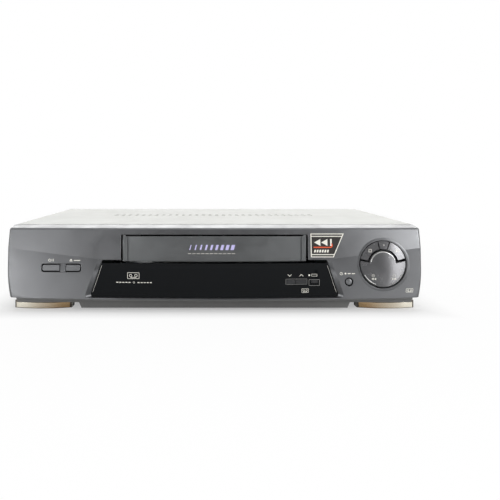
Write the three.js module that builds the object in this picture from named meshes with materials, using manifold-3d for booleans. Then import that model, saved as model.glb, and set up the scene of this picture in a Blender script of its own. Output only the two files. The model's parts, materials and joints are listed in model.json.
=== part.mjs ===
// Front-loading video cassette recorder.
// Millimetres, +X to the right seen from the front, +Y to the back, +Z up.
// The origin is on the floor, under the middle of the whole outline.
import * as THREE from 'three';
import { mergeVertices } from 'three/addons/utils/BufferGeometryUtils.js';
import Module from 'manifold-3d';

const wasm = await Module();
wasm.setup();

// Driving sizes of the whole recorder
const width = 435;
const depth = 290;
const height = 89.7;
const bulgeReach = 12;
const socketReach = 4;
const touchGap = 0.3;
const overrun = 3;

// How many sides round forms get, by how large they are
const facets = { arc: 90, large: 28, medium: 16, small: 10, tiny: 8, sweep: 9, bend: 3, tight: 2 };

const halfWidth = width / 2;
const edgeY = -depth / 2 + bulgeReach;
const rearY = depth / 2 - socketReach;
const fromSide = (distance) => halfWidth - distance;
const behindFront = (distance) => edgeY + distance;
const beforeRear = (distance) => rearY - distance;
const belowTop = (distance) => height - distance;

// Moulded front: an upper band that leans forward, a crease, and a lower part with a full belly
const fascia = {
  wall: 2.6, wrap: 19.5, bottom: 13.8, topFront: belowTop(2.5), topBack: belowTop(0.3),
  topRound: 3, cornerRound: 3.5, peak: belowTop(41.7), shoulderIn: 0.3, footIn: 1.2,
  topBow: 3, bottomBow: 13.5, belly: 2, shoulderRound: 1.4,
  creaseInnerX: fromSide(93.5), creaseInner: belowTop(34.5), creaseOuter: belowTop(23),
  leanShare: 0.1, endLeanShare: 0.25, underCreaseShare: 0.05,
};
fascia.backY = behindFront(fascia.wrap);
fascia.middleZ = (fascia.bottom + fascia.topFront) / 2;

// Bowed black window with its sill under the cassette door
const lens = {
  top: belowTop(38.7), bottom: 16, topHalf: fromSide(99.1), bottomHalf: fromSide(87.2), reach: 10, bow: 6.3,
  thick: 2.6, sill: 2, sillReach: 0, round: 4, fit: 0.4,
  bevel: 5.2, overhang: 3.1, lowBevel: 0.9, set: 0.3, frame: 2.2, frameReach: -1.6,
};

// Cassette way-in and its flap, hung on two pins behind the upper band
const door = {
  halfOpening: 98.3, openingTop: belowTop(9.5), half: 96.7, top: belowTop(11.1), thick: 2.5,
  sillFit: 1, lowBow: 3.5, topBow: 1, ribInset: 4.4, ribWide: 1.2, ribProud: 0.5,
  pinRadius: 1.2, pinY: 3.4, pinZ: belowTop(8.2), pinLength: 5.4, armWide: 3, armRadius: 2,
  earWide: 3, earRadius: 3.4, pinFit: 0.35, edgeBevel: 0.8,
};
door.bottom = lens.top + door.sillFit;

// Steel cover and the closed base under it
const cover = { wall: 1, half: fromSide(1.8), bottom: 12, round: 3, jointGap: 0.4 };
cover.frontY = fascia.backY + cover.jointGap;

const unit = 1;
const half = unit / 2;
const quarterTurn = Math.PI / 2;
const degree = Math.PI / 180;
const lerp = (a, b, share) => a + (b - a) * share;
const point = (x, y, z) => new THREE.Vector3(x, y, z);

// Solids: closed geometries become manifolds, and only joins and cuts are made there

function solid(geometry) {
  const bare = geometry.clone();
  bare.deleteAttribute('normal');
  bare.deleteAttribute('uv');
  const merged = mergeVertices(bare);
  const places = merged.attributes.position.array;
  const corners = [];
  for (let i = 0; i < merged.index.count; i += 3) {
    const [a, b, c] = merged.index.array.slice(i, i + 3);
    if (a !== b && b !== c && c !== a) corners.push(a, b, c);
  }
  if (volumeOf(places, corners) < 0) corners.reverse();
  const mesh = new wasm.Mesh({
    numProp: 3,
    vertProperties: new Float32Array(places),
    triVerts: new Uint32Array(corners),
  });
  mesh.merge();
  return new wasm.Manifold(mesh);
}

function geometryOf(manifold) {
  const mesh = manifold.getMesh();
  const geometry = new THREE.BufferGeometry();
  geometry.setAttribute('position', new THREE.BufferAttribute(mesh.vertProperties, 3));
  geometry.setIndex(new THREE.BufferAttribute(mesh.triVerts, 1));
  const flat = geometry.toNonIndexed();
  flat.computeVertexNormals();
  return flat;
}

const join = (...solids) => solids.reduce((all, one) => all.add(one));
const cut = (body, ...tools) => tools.reduce((rest, tool) => rest.subtract(tool), body);

function box(x0, x1, y0, y1, z0, z1) {
  const geometry = new THREE.BoxGeometry(x1 - x0, y1 - y0, z1 - z0);
  geometry.translate((x0 + x1) / 2, (y0 + y1) / 2, (z0 + z1) / 2);
  return solid(geometry);
}

// A cylinder or cone along an axis, from one end to the other
function rod(axis, x, y, z, length, radius, sides = facets.medium, endRadius = radius) {
  const geometry = new THREE.CylinderGeometry(endRadius, radius, Math.abs(length), sides);
  if (axis === 'x') geometry.rotateZ(-quarterTurn);
  if (axis === 'z') geometry.rotateX(quarterTurn);
  const middle = length / 2;
  geometry.translate(
    x + (axis === 'x' ? middle : 0), y + (axis === 'y' ? middle : 0), z + (axis === 'z' ? middle : 0),
  );
  return solid(geometry);
}

const shapeOf = (outline) => new THREE.Shape(outline.map(([u, v]) => new THREE.Vector2(u, v)));

// An outline in X and Z, pushed along Y
function alongY(shape, y0, y1, curveSegments = facets.bend) {
  const geometry = new THREE.ExtrudeGeometry(shape, { depth: y1 - y0, bevelEnabled: false, curveSegments });
  geometry.rotateX(quarterTurn);
  geometry.translate(0, y1, 0);
  return solid(geometry);
}

// An outline in X and Y, pushed along Z
function alongZ(shape, z0, z1, curveSegments = facets.bend) {
  const geometry = new THREE.ExtrudeGeometry(shape, { depth: z1 - z0, bevelEnabled: false, curveSegments });
  geometry.translate(0, 0, z0);
  return solid(geometry);
}

// An outline in Y and Z, pushed along X
function alongX(shape, x0, x1, curveSegments = facets.bend) {
  const geometry = new THREE.ExtrudeGeometry(shape, { depth: x1 - x0, bevelEnabled: false, curveSegments });
  geometry.rotateX(quarterTurn);
  geometry.rotateZ(quarterTurn);
  geometry.translate(x0, 0, 0);
  return solid(geometry);
}

function roundedShape(u0, u1, v0, v1, radius) {
  const r = Math.min(radius, (u1 - u0) / 2, (v1 - v0) / 2);
  const shape = new THREE.Shape();
  shape.moveTo(u0 + r, v0);
  shape.lineTo(u1 - r, v0);
  shape.absarc(u1 - r, v0 + r, r, -quarterTurn, 0);
  shape.lineTo(u1, v1 - r);
  shape.absarc(u1 - r, v1 - r, r, 0, quarterTurn);
  shape.lineTo(u0 + r, v1);
  shape.absarc(u0 + r, v1 - r, r, quarterTurn, 2 * quarterTurn);
  shape.lineTo(u0, v0 + r);
  shape.absarc(u0 + r, v0 + r, r, 2 * quarterTurn, 3 * quarterTurn);
  return shape;
}

// A ring segment between two angles, in degrees from +U towards +V
function sectorShape(u, v, inner, outer, from, to) {
  const shape = new THREE.Shape();
  shape.absarc(u, v, outer, from * degree, to * degree, false);
  shape.absarc(u, v, inner, to * degree, from * degree, true);
  return shape;
}

// A body turned about an upright axis, from its radius and height pairs
function turned(profile, sides = facets.medium) {
  const geometry = new THREE.LatheGeometry(profile.map(([r, z]) => new THREE.Vector2(r, z)), sides);
  geometry.rotateX(quarterTurn);
  return solid(geometry);
}

// A closed skin through rings of equally many points, with a flat cap on the first and last ring
function loft(rings, capAxes) {
  const count = rings[0].length;
  const positions = rings.flat().flatMap((p) => [p.x, p.y, p.z]);
  const index = [];
  for (let ring = 0; ring + 1 < rings.length; ring += 1) {
    for (let side = 0; side < count; side += 1) {
      const next = (side + 1) % count;
      const a = ring * count + side;
      const b = ring * count + next;
      index.push(a, b, b + count, a, b + count, a + count);
    }
  }
  const last = (rings.length - 1) * count;
  for (const [a, b, c] of capFaces(rings[0], capAxes)) index.push(c, b, a);
  for (const [a, b, c] of capFaces(rings.at(-1), capAxes)) index.push(last + a, last + b, last + c);
  const geometry = new THREE.BufferGeometry();
  geometry.setAttribute('position', new THREE.Float32BufferAttribute(positions, 3));
  geometry.setIndex(index);
  return solid(geometry);
}

// Triangles over a ring, turned the same way round as the ring itself
function capFaces(ring, [u, v]) {
  const flat = ring.map((p) => new THREE.Vector2(p[u], p[v]));
  const faces = THREE.ShapeUtils.triangulateShape(flat, []);
  const covered = faces.reduce((sum, face) => sum + THREE.ShapeUtils.area(face.map((i) => flat[i])), 0);
  const same = covered * THREE.ShapeUtils.area(flat) > 0;
  return same ? faces : faces.map(([a, b, c]) => [c, b, a]);
}

function volumeOf(positions, index) {
  let six = 0;
  const corner = (i) => new THREE.Vector3().fromArray(positions, 3 * i);
  for (let i = 0; i < index.length; i += 3) {
    const [a, b, c] = [corner(index[i]), corner(index[i + 1]), corner(index[i + 2])];
    six += a.dot(b.cross(c));
  }
  return six;
}

// The front skin. Reach is how far it stands in front of the plane of the top edge

function creaseHeight(x) {
  const past = Math.max(0, Math.abs(x) - fascia.creaseInnerX);
  return lerp(fascia.creaseInner, fascia.creaseOuter, past / (halfWidth - fascia.creaseInnerX));
}

function frontReach(x, z) {
  const outward = (x / halfWidth) ** 2;
  const lean = lerp(fascia.leanShare, fascia.endLeanShare, outward);
  const bandReach = (level) => lean * (fascia.topFront - level) - fascia.topBow * outward;
  const crease = creaseHeight(x);
  if (z >= crease) return bandReach(z);
  const peakReach = bandReach(crease) + fascia.underCreaseShare * (crease - fascia.peak);
  if (z >= fascia.peak) return lerp(bandReach(crease), peakReach, (crease - z) / (crease - fascia.peak));
  const down = (fascia.peak - z) / (fascia.peak - fascia.bottom);
  const lowReach = bulgeReach - fascia.bottomBow * outward;
  return lerp(peakReach, lowReach, down) + fascia.belly * 4 * down * (1 - down);
}

const reachY = (reach) => edgeY - reach;
const lensReach = (x) => lens.reach - lens.bow * (x / lens.bottomHalf) ** 2;

function sideInset(z) {
  if (z > fascia.peak) {
    return fascia.shoulderIn * ((z - fascia.peak) / (fascia.topFront - fascia.peak)) ** 2;
  }
  return fascia.footIn * ((fascia.peak - z) / (fascia.peak - fascia.bottom)) ** 2;
}

const fasciaSteps = { middle: 3, side: 3, corner: 2, low: 3, round: 2 };

// Where the sections stand, how far the plan corner pulls them back, and how far it lowers them
function fasciaColumns(inset) {
  const round = fascia.cornerRound - inset;
  const straight = halfWidth - fascia.cornerRound;
  const right = [];
  for (let i = 0; i <= fasciaSteps.middle; i += 1) {
    right.push({ x: (fascia.creaseInnerX * i) / fasciaSteps.middle, turn: 0 });
  }
  for (let i = 1; i <= fasciaSteps.side; i += 1) {
    right.push({ x: lerp(fascia.creaseInnerX, straight, i / fasciaSteps.side), turn: 0 });
  }
  for (let i = 1; i <= fasciaSteps.corner; i += 1) {
    const turn = (quarterTurn * i) / fasciaSteps.corner;
    right.push({ x: straight + round * Math.sin(turn), turn });
  }
  const left = right.slice(1).reverse().map(({ x, turn }) => ({ x: -x, turn }));
  return [...left, ...right].map(({ x, turn }) => ({
    x, pull: round * (1 - Math.cos(turn)), drop: fascia.shoulderRound * (1 - Math.cos(turn)),
  }));
}

function fasciaSection({ x, pull, drop }, inset) {
  const side = halfWidth - inset;
  const round = Math.max(fascia.topRound - inset, touchGap);
  const bottom = fascia.bottom + inset + drop;
  const bandTop = fascia.topFront - inset - drop - round;
  const crease = creaseHeight(x);
  const levels = [];
  for (let i = 0; i < fasciaSteps.low; i += 1) levels.push(lerp(bottom, fascia.peak, i / fasciaSteps.low));
  levels.push(fascia.peak, (fascia.peak + crease) / 2, crease, (crease + bandTop) / 2);
  const outline = levels.map((z) => [frontReach(x, z) - inset - pull, z]);
  for (let i = 0; i <= fasciaSteps.round; i += 1) {
    const turn = (quarterTurn * i) / fasciaSteps.round;
    const reach = frontReach(x, bandTop) - inset - pull - round * (1 - Math.cos(turn));
    outline.push([reach, bandTop + round * Math.sin(turn)]);
  }
  const back = -fascia.wrap - (inset > 0 ? overrun : 0);
  outline.push([back, fascia.topBack - inset - drop], [back, bottom]);
  return outline.map(([reach, z]) => point((x * (side - sideInset(z))) / side, reachY(reach), z));
}

const fasciaBlock = (inset) => loft(fasciaColumns(inset).map((column) => fasciaSection(column, inset)), 'yz');

// A cutter with straight walls behind and a bevel that runs out on the skin
function bevelledOpening(inner, outer, neckReach, behind) {
  const ring = (outline, y) => outline.map(([x, z]) => point(x, y(x, z), z));
  return loft([
    ring(inner, () => reachY(-behind)),
    ring(inner, (x, z) => reachY(neckReach(x, z))),
    ring(outer, (x, z) => reachY(frontReach(x, z))),
    ring(outer, () => reachY(bulgeReach + overrun)),
  ], 'xz');
}

// The points of a closed shape, without those that repeat the one before
function outlineOf(shape, steps = facets.bend) {
  const points = shape.getPoints(steps);
  const apart = points.filter((p, i) => p.distanceTo(points.at(i - 1)) > touchGap / 10);
  return apart.map((p) => [p.x, p.y]);
}

const onSkin = (deep) => (x, z) => frontReach(x, z) - deep;

// The window's outline: slanting sides and round lower corners, grown evenly by a margin
function lensOutline(margin, topZ, bottomMargin = margin) {
  const slope = (lens.bottomHalf - lens.topHalf) / (lens.top - lens.bottom);
  const low = lens.bottom - bottomMargin;
  const halfAt = (z) => lens.topHalf + margin + slope * (lens.top - z);
  const outline = [];
  const steps = facets.bend;
  for (const side of [1, -1]) {
    const corner = [];
    for (let i = 0; i <= steps; i += 1) {
      const turn = (quarterTurn * i) / steps;
      const z = low + lens.round * (1 - Math.sin(turn));
      corner.push([side * (halfAt(z) - lens.round * (1 - Math.cos(turn))), z]);
    }
    const top = [side * halfAt(topZ), topZ];
    outline.push(...(side > 0 ? [top, ...corner] : [...corner.reverse(), top]));
  }
  return outline;
}

// Buttons: where each stands, how big it is, and what it travels
const button = {
  height: 6.6, round: 1.6, fit: 0.85, z: fascia.middleZ - 4.6, inset: 0.6, travel: 1.2, stem: 2, bevel: 0.7,
  boardReach: -13.6, switchHigh: 1.5, flangeReach: -3,
};
button.stemReach = button.boardReach + button.switchHigh + button.travel + touchGap;
const pill = {
  left: -fromSide(37.2), dividerLeft: -fromSide(55.9), dividerRight: -fromSide(61.5), right: -fromSide(77),
  gap: 0.5, dividerInset: 1.2,
};
const timer = { x: fromSide(77.4), z: 31.7, radius: 3.3, recess: 4.5, collar: 4.15, collarDeep: 2.4 };
const keys = {
  left: lens.topHalf - 43.8, split: lens.topHalf - 33.95, splitGap: 0.7, right: lens.topHalf - 22.6,
  low: 29.8, high: 34.2, proud: 0.8, fit: 0.4,
};
const record = {
  left: lens.topHalf - 20.4, right: lens.topHalf - 8.7, low: 27.6, high: 34.6,
  capLeft: lens.topHalf - 17.5, capRight: lens.topHalf - 10.9,
  capLow: 30.5, capHigh: 33.4, proud: 1, capProud: 0.5, fit: 0.4,
};

// Transport dial: a round well with three ring buttons above and a rocking disc that fills the rest
const dial = {
  x: fromSide(40.6), z: fascia.middleZ - 1.3, well: 24.9, rim: 26.9, wellWall: 1.8, floorReach: -9, floor: 1.6,
  ringInner: 16.2, ringOuter: 24.3, ringReach: 2.2, ringBack: -6,
  discInner: 14.2, discOuter: 23.9, discReach: 2.4, discBack: -4, crown: 1.6,
  ridgeInner: 20.6, ridgeReach: 3.4, postRadius: 2.5, postReach: -4.3,
  discFrom: 171, discTo: 369,
};
const ringButtons = {
  stop_button: { from: 104, to: 166 },
  pause_button: { from: 75, to: 101 },
  play_button: { from: 15, to: 72 },
};
const ridges = [{ from: 209, to: 250 }, { from: 290, to: 331 }];
const ringMiddle = (dial.ringInner + dial.ringOuter) / 2;
const ringStem = ({ from, to }) => {
  const angle = ((from + to) / 2) * degree;
  return [dial.x + ringMiddle * Math.cos(angle), dial.z + ringMiddle * Math.sin(angle)];
};

// Middles of the small plunger buttons, where their stems reach the front board
const pillMiddle = {
  power_button: (pill.left + pill.dividerLeft - pill.gap) / 2,
  eject_button: (pill.dividerRight + pill.gap + pill.right) / 2,
};
const keyMiddle = {
  channel_down_button: (keys.left + keys.split) / 2,
  channel_up_button: (keys.split + keys.right) / 2,
};
const plungers = [
  ...Object.values(pillMiddle).map((x) => [x, button.z]),
  ...Object.values(keyMiddle).map((x) => [x, (keys.low + keys.high) / 2]),
  [(record.capLeft + record.capRight) / 2, (record.capLow + record.capHigh) / 2],
  [timer.x, timer.z],
  ...Object.values(ringButtons).map(ringStem),
];
const boss = {
  radius: 2.6,
  left: [[27.5, 30], [75.5, belowTop(23.7)], [27.5, belowTop(19.7)]],
  right: [[67.5, 20.5], [17.5, 22], [17.5, belowTop(13.7)]],
};
const bossPlaces = [
  ...boss.left.map(([inward, z]) => [-fromSide(inward), z]),
  ...boss.right.map(([inward, z]) => [fromSide(inward), z]),
];

const circle = (x, z, radius, steps = facets.large) => {
  const outline = [];
  for (let i = 0; i < steps; i += 1) {
    const turn = (2 * Math.PI * i) / steps;
    outline.push([x + radius * Math.cos(turn), z + radius * Math.sin(turn)]);
  }
  return outline;
};

function dialWell() {
  const { x: dialX, z: dialZ, well, wellWall, floor, floorReach, postReach, postRadius } = dial;
  const tube = cut(
    rod('y', dialX, reachY(0), dialZ, floor - floorReach, well + wellWall, facets.large),
    rod('y', dialX, reachY(overrun), dialZ, overrun - floorReach, well, facets.large),
  );
  const post = rod('y', dialX, reachY(postReach), dialZ, postReach - floorReach, postRadius);
  const holes = Object.values(ringButtons).map((arc) => {
    const [x, z] = ringStem(arc);
    return rod('y', x, reachY(floorReach + overrun), z, floor + 2 * overrun, button.stem + touchGap, facets.tiny);
  });
  return cut(join(tube, post), ...holes);
}

// On each side, the pin's hole in its ear and a pocket in the wall for the flap's arm
function hingeClearance(side) {
  const earX = side * door.halfOpening;
  const armX = [side * (door.halfOpening + touchGap), side * (door.half - door.armWide - 2 * touchGap)];
  const [x0, x1] = armX.sort((a, b) => a - b);
  return [
    rod(
      'x', earX, edgeY + door.pinY, door.pinZ, side * (door.edgeBevel + door.earWide - touchGap),
      door.pinRadius + door.pinFit, facets.small),
    box(
      x0, x1, edgeY + door.pinY - door.armRadius - touchGap, edgeY + door.pinY + door.armRadius,
      door.top, door.pinZ + door.armRadius + touchGap),
  ];
}

function fasciaPiece() {
  const shell = cut(fasciaBlock(0), fasciaBlock(fascia.wall));
  const bosses = bossPlaces.map(([x, z]) => {
    const start = frontReach(x, z) - fascia.wall / 2;
    return rod('y', x, reachY(start), z, start - button.boardReach - touchGap, boss.radius, facets.tiny);
  });
  const ears = [1, -1].map((side) => {
    const inner = side * (door.halfOpening + door.edgeBevel);
    const outer = inner + side * door.earWide;
    const skin = reachY(0) + fascia.wall / 2;
    return box(
      Math.min(inner, outer), Math.max(inner, outer), skin, edgeY + door.pinY + door.earRadius,
      door.pinZ - door.earRadius, fascia.topFront - fascia.wall / 2,
    );
  });
  const lensInner = lensOutline(lens.fit, lens.top + lens.overhang);
  const lensOuter = lensOutline(lens.bevel, lens.top + lens.overhang, lens.lowBevel);
  const neck = (x, z) => Math.min(frontReach(x, z) - lens.lowBevel, lensReach(x) - lens.set);
  const frameOutline = lensOutline(lens.bevel + lens.frame, lens.top + lens.overhang, lens.lowBevel);
  const frame = bevelledOpening(frameOutline, frameOutline, () => lens.frameReach + touchGap, -lens.frameReach);
  const doorHole = (grow) => outlineOf(roundedShape(
    -door.halfOpening - grow, door.halfOpening + grow, lens.top - overrun, door.openingTop + grow, 1 + grow));
  const pillHole = (grow) => outlineOf(roundedShape(
    pill.left - button.fit - grow, pill.right + button.fit + grow,
    button.z - button.height / 2 - button.fit - grow, button.z + button.height / 2 + button.fit + grow,
    button.round + button.fit + grow));
  const divider = alongY(
    roundedShape(
      pill.dividerLeft, pill.dividerRight, button.z - button.height, button.z + button.height, touchGap),
    edgeY - bulgeReach, edgeY + fascia.wall,
  ).intersect(fasciaBlock(pill.dividerInset));
  const well = dialWell();
  const opened = cut(
    join(shell, frame.intersect(fasciaBlock(0)), well.intersect(fasciaBlock(fascia.wall / 2)), ...bosses, ...ears),
    bevelledOpening(lensInner, lensOuter, neck, fascia.wall * 2),
    bevelledOpening(doorHole(0), doorHole(door.edgeBevel), onSkin(door.edgeBevel), fascia.wall + door.edgeBevel),
    bevelledOpening(pillHole(0), pillHole(button.bevel), onSkin(button.bevel), fascia.wall),
    bevelledOpening(
      circle(dial.x, dial.z, dial.well), circle(dial.x, dial.z, dial.rim),
      onSkin(dial.rim - dial.well), fascia.wall + dial.wellWall),
    rod('y', timer.x, reachY(bulgeReach), timer.z, bulgeReach + fascia.wall * 2, timer.recess, facets.medium),
    ...[1, -1].flatMap(hingeClearance),
  );
  return join(opened, divider);
}

function lensPiece() {
  const columns = 24;
  const sections = [];
  for (let i = 0; i <= columns; i += 1) {
    const x = lerp(-lens.bottomHalf, lens.bottomHalf, i / columns);
    const [front, back] = [lensReach(x), lensReach(x) - lens.thick];
    const outline = [
      [front, lens.bottom], [front, lens.top], [lens.sillReach, lens.top],
      [lens.sillReach, lens.top - lens.sill], [back, lens.top - lens.sill], [back, lens.bottom],
    ];
    const backmost = Math.min(lens.sillReach, back - touchGap);
    outline[2][0] = backmost;
    outline[3][0] = backmost;
    sections.push(outline.map(([reach, z]) => point(x, reachY(reach), z)));
  }
  const plate = loft(sections, 'yz').intersect(
    alongY(shapeOf(lensOutline(0, lens.top + overrun, 0)), edgeY - bulgeReach, edgeY + depth));
  const middle = (record.left + record.right) / 2;
  const rimOuter = roundedShape(record.left, record.right, record.low, record.high, 1);
  const rimReach = lensReach(middle);
  const rim = alongY(rimOuter, reachY(rimReach + record.proud), reachY(rimReach - lens.thick / 2));
  const recordHole = box(
    record.capLeft - record.fit, record.capRight + record.fit, edgeY - depth, edgeY + depth,
    record.capLow - record.fit, record.capHigh + record.fit);
  const notch = box(
    record.capLeft - record.fit, record.capRight + record.fit, edgeY - depth,
    reachY(lensReach(middle)), record.capLow, record.high + overrun);
  const keyHole = box(
    keys.left - keys.fit, keys.right + keys.fit, edgeY - depth, edgeY + depth,
    keys.low - keys.fit, keys.high + keys.fit);
  return cut(join(plate, rim), recordHole, notch, keyHole);
}

function doorSection(x, proud) {
  const out = (x / door.half) ** 2;
  const top = frontReach(0, door.top) - door.topBow * out + proud;
  const low = fascia.leanShare * (fascia.topFront - door.bottom) - door.lowBow * out + proud;
  const back = proud + door.thick;
  const outline = [[low, door.bottom], [top, door.top], [top - back, door.top], [low - back, door.bottom]];
  return outline.map(([reach, z]) => point(x, reachY(reach), z));
}

function doorPiece() {
  const columns = 12;
  const sections = [];
  for (let i = 0; i <= columns; i += 1) sections.push(doorSection(lerp(-door.half, door.half, i / columns), 0));
  const sides = [1, -1].map((side) => {
    const outer = side * (door.half - touchGap);
    const inner = outer - side * door.armWide;
    const [x0, x1] = [Math.min(inner, outer), Math.max(inner, outer)];
    const hinge = rod('x', x0, edgeY + door.pinY, door.pinZ, x1 - x0, door.armRadius, facets.small);
    const strut = box(
      x0, x1, reachY(-touchGap), edgeY + door.pinY + door.armRadius,
      door.top - 2 * door.armRadius, door.openingTop - touchGap);
    const pin = rod(
      'x', outer - (side * door.armWide) / 2, edgeY + door.pinY, door.pinZ,
      side * (door.pinLength + door.armWide / 2), door.pinRadius, facets.small);
    const ribX = side * (door.half - door.ribInset);
    const rib = loft([-1, 1].map((edge) => doorSection(ribX + (edge * door.ribWide) / 2, door.ribProud)), 'yz');
    return join(hinge, strut, pin, rib);
  });
  return join(loft(sections, 'yz'), ...sides);
}

const boardY = reachY(button.boardReach);

function stem(x, z, fromReach, radius = button.stem, toReach = button.stemReach) {
  return rod('y', x, reachY(fromReach), z, fromReach - toReach, radius, facets.small);
}

// A cap cut out of a front block that is inset a little, so that its face follows the skin
function pillButton(left, right, roundLeft, roundRight) {
  const shape = new THREE.Shape();
  const [low, high] = [button.z - button.height / 2, button.z + button.height / 2];
  const [l, r] = [roundLeft ? button.round : 0, roundRight ? button.round : 0];
  shape.moveTo(left + l, low);
  shape.lineTo(right - r, low);
  if (r) shape.absarc(right - r, low + r, r, -quarterTurn, 0);
  shape.lineTo(right, high - r);
  if (r) shape.absarc(right - r, high - r, r, 0, quarterTurn);
  shape.lineTo(left + l, high);
  if (l) shape.absarc(left + l, high - l, l, quarterTurn, 2 * quarterTurn);
  shape.lineTo(left, low + l);
  if (l) shape.absarc(left + l, low + l, l, 2 * quarterTurn, 3 * quarterTurn);
  const cap = alongY(shape, edgeY - bulgeReach, reachY(button.flangeReach)).intersect(fasciaBlock(button.inset));
  return join(cap, stem((left + right) / 2, button.z, 0));
}

function timerButton() {
  const skin = frontReach(timer.x, timer.z);
  const long = bulgeReach - skin + timer.collarDeep * 2;
  const cap = rod('y', timer.x, edgeY - bulgeReach, timer.z, long, timer.radius)
    .intersect(fasciaBlock(button.inset));
  const collar = stem(timer.x, timer.z, skin - timer.collarDeep, timer.collar, skin - timer.collarDeep * 2);
  return join(cap, collar, stem(timer.x, timer.z, skin - timer.collarDeep));
}

function keyButton(left, right) {
  const x = (left + right) / 2;
  const z = (keys.low + keys.high) / 2;
  const front = lensReach(x);
  const cap = alongY(roundedShape(left, right, keys.low, keys.high, keys.fit),
    reachY(front + keys.proud), reachY(front - 2 * lens.thick), facets.tight);
  return join(cap, stem(x, z, front - lens.thick));
}

function recordButton() {
  const x = (record.capLeft + record.capRight) / 2;
  const z = (record.capLow + record.capHigh) / 2;
  const front = lensReach(x);
  const cap = alongY(roundedShape(record.capLeft, record.capRight, record.capLow, record.capHigh, record.fit),
    reachY(front + record.capProud), reachY(front - 2 * lens.thick), facets.tight);
  return join(cap, stem(x, z, front - lens.thick, (record.capHigh - record.capLow) / 2));
}

function ringButton(arc) {
  const [x, z] = ringStem(arc);
  const cap = alongY(sectorShape(dial.x, dial.z, dial.ringInner, dial.ringOuter, arc.from, arc.to),
    reachY(dial.ringReach), reachY(dial.ringBack));
  return join(cap, stem(x, z, dial.ringBack + touchGap));
}

function shuttleDisc() {
  const outline = new THREE.Shape();
  outline.absarc(dial.x, dial.z, dial.discInner, dial.discTo * degree - 2 * Math.PI, dial.discFrom * degree, false);
  outline.absarc(dial.x, dial.z, dial.discOuter, dial.discFrom * degree, dial.discTo * degree, false);
  const plate = alongY(outline, reachY(dial.discReach), reachY(dial.discBack), facets.sweep);
  const crown = rod(
    'y', dial.x, reachY(dial.discReach - touchGap), dial.z, -dial.crown - touchGap,
    dial.discInner, facets.large);
  const ridgePads = ridges.map(({ from, to }) => alongY(
    sectorShape(dial.x, dial.z, dial.ridgeInner, dial.discOuter, from, to),
    reachY(dial.ridgeReach), reachY(dial.discReach - touchGap)));
  return join(plate, crown, ...ridgePads);
}

// Steel cover: one sheet folded over the top and both sides, with vent slots over the power supply
const vents = { count: 30, pitch: 8.6, wide: 3.4, frontY: beforeRear(137), long: 20 };
const screw = {
  radius: 2, head: 3.8, headHigh: 0.85, length: 6, fit: 0.3, z: 20,
  frontY: behindFront(63), rearY: beforeRear(41),
};
screw.places = [[1, screw.frontY], [-1, screw.frontY], [1, screw.rearY], [-1, screw.rearY]];
const tray = { bottom: 11.5, wall: 1.5, flange: 1.2, flangeTop: 30, rearTop: 16, sideFit: 0.4, frontY: behindFront(21) };
const panel = {
  thick: 1.5, bottom: 12.4, top: belowTop(1.4), sideFit: 0.5, slots: 12, slotX: 85.7 - cover.half,
  slotPitch: 6, slotWide: 2.6, slotLow: belowTop(31.7), slotHigh: belowTop(11.7),
};

function coverPiece() {
  const outer = roundedShape(-cover.half, cover.half, cover.bottom, height, cover.round);
  const low = box(-width, width, -depth, depth, -depth, cover.bottom + cover.round);
  const legs = box(-cover.half, cover.half, cover.frontY, rearY, cover.bottom, cover.bottom + 2 * cover.round);
  const body = join(cut(alongY(outer, cover.frontY, rearY), low), legs);
  const inner = alongY(
    roundedShape(
      cover.wall - cover.half, cover.half - cover.wall, -height, height - cover.wall, cover.round - cover.wall),
    cover.frontY - overrun, rearY + overrun);
  const slots = [];
  for (let i = 0; i < vents.count; i += 1) {
    const x = (i - (vents.count - 1) / 2) * vents.pitch;
    slots.push(box(
      x - vents.wide / 2, x + vents.wide / 2, vents.frontY, vents.frontY + vents.long,
      height - cover.wall - overrun, height + overrun));
  }
  const holes = [...new Set(screw.places.map(([, y]) => y))].map((y) => rod(
    'x', -width, y, screw.z, 2 * width, screw.radius + screw.fit, facets.small));
  return cut(body, inner, ...slots, ...holes);
}

function screwPiece(side, y) {
  const face = side * (cover.half + screw.fit);
  return join(
    rod('x', face, y, screw.z, side * screw.headHigh, screw.head, facets.medium),
    rod('x', face + side * touchGap, y, screw.z, -side * screw.length, screw.radius, facets.small));
}

function trayPiece() {
  const half = cover.half - cover.wall - tray.sideFit;
  const back = rearY - panel.thick - touchGap;
  const floorTop = tray.bottom + tray.wall;
  const sides = [1, -1].map((side) => {
    const [x0, x1] = [side * half, side * (half - tray.flange)].sort((a, b) => a - b);
    return box(x0, x1, tray.frontY, back, tray.bottom, tray.flangeTop);
  });
  const floor = box(-half, half, tray.frontY, back, tray.bottom, floorTop);
  const rearFlange = box(-half, half, back - tray.flange, back, tray.bottom, tray.rearTop);
  const posts = boardPosts.map(([x, y]) => rod(
    'z', x, y, tray.bottom + tray.wall / 2, board.bottom - touchGap - tray.bottom - tray.wall / 2,
    board.postRadius, facets.tiny));
  const deckPosts = deckFeet.map(([x, y]) => rod(
    'z', x, y, tray.bottom + tray.wall / 2, deck.bottom - touchGap - tray.bottom - tray.wall / 2,
    deck.postRadius, facets.small));
  const holes = [...new Set(screw.places.map(([, y]) => y))].map((y) => rod(
    'x', -width, y, screw.z, 2 * width, screw.radius + screw.fit, facets.small));
  return cut(join(floor, ...sides, rearFlange, ...posts, ...deckPosts), ...holes);
}

// Moulded base under the front: a bowed lip on a straight ledge with tapered ends, and a skirt between the feet
const base = {
  half: fromSide(8), endTaper: 2, bottom: 8.4, top: 13.4, lipLow: 12.2, lipIn: 1.3, reach: -3,
  backY: tray.frontY - cover.jointGap,
  skirtTopHalf: fromSide(74.1), skirtLowHalf: fromSide(76.8), skirtBottom: 2.5,
  skirtThick: 3, ribCount: 7, ribDeep: 12,
};

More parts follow.
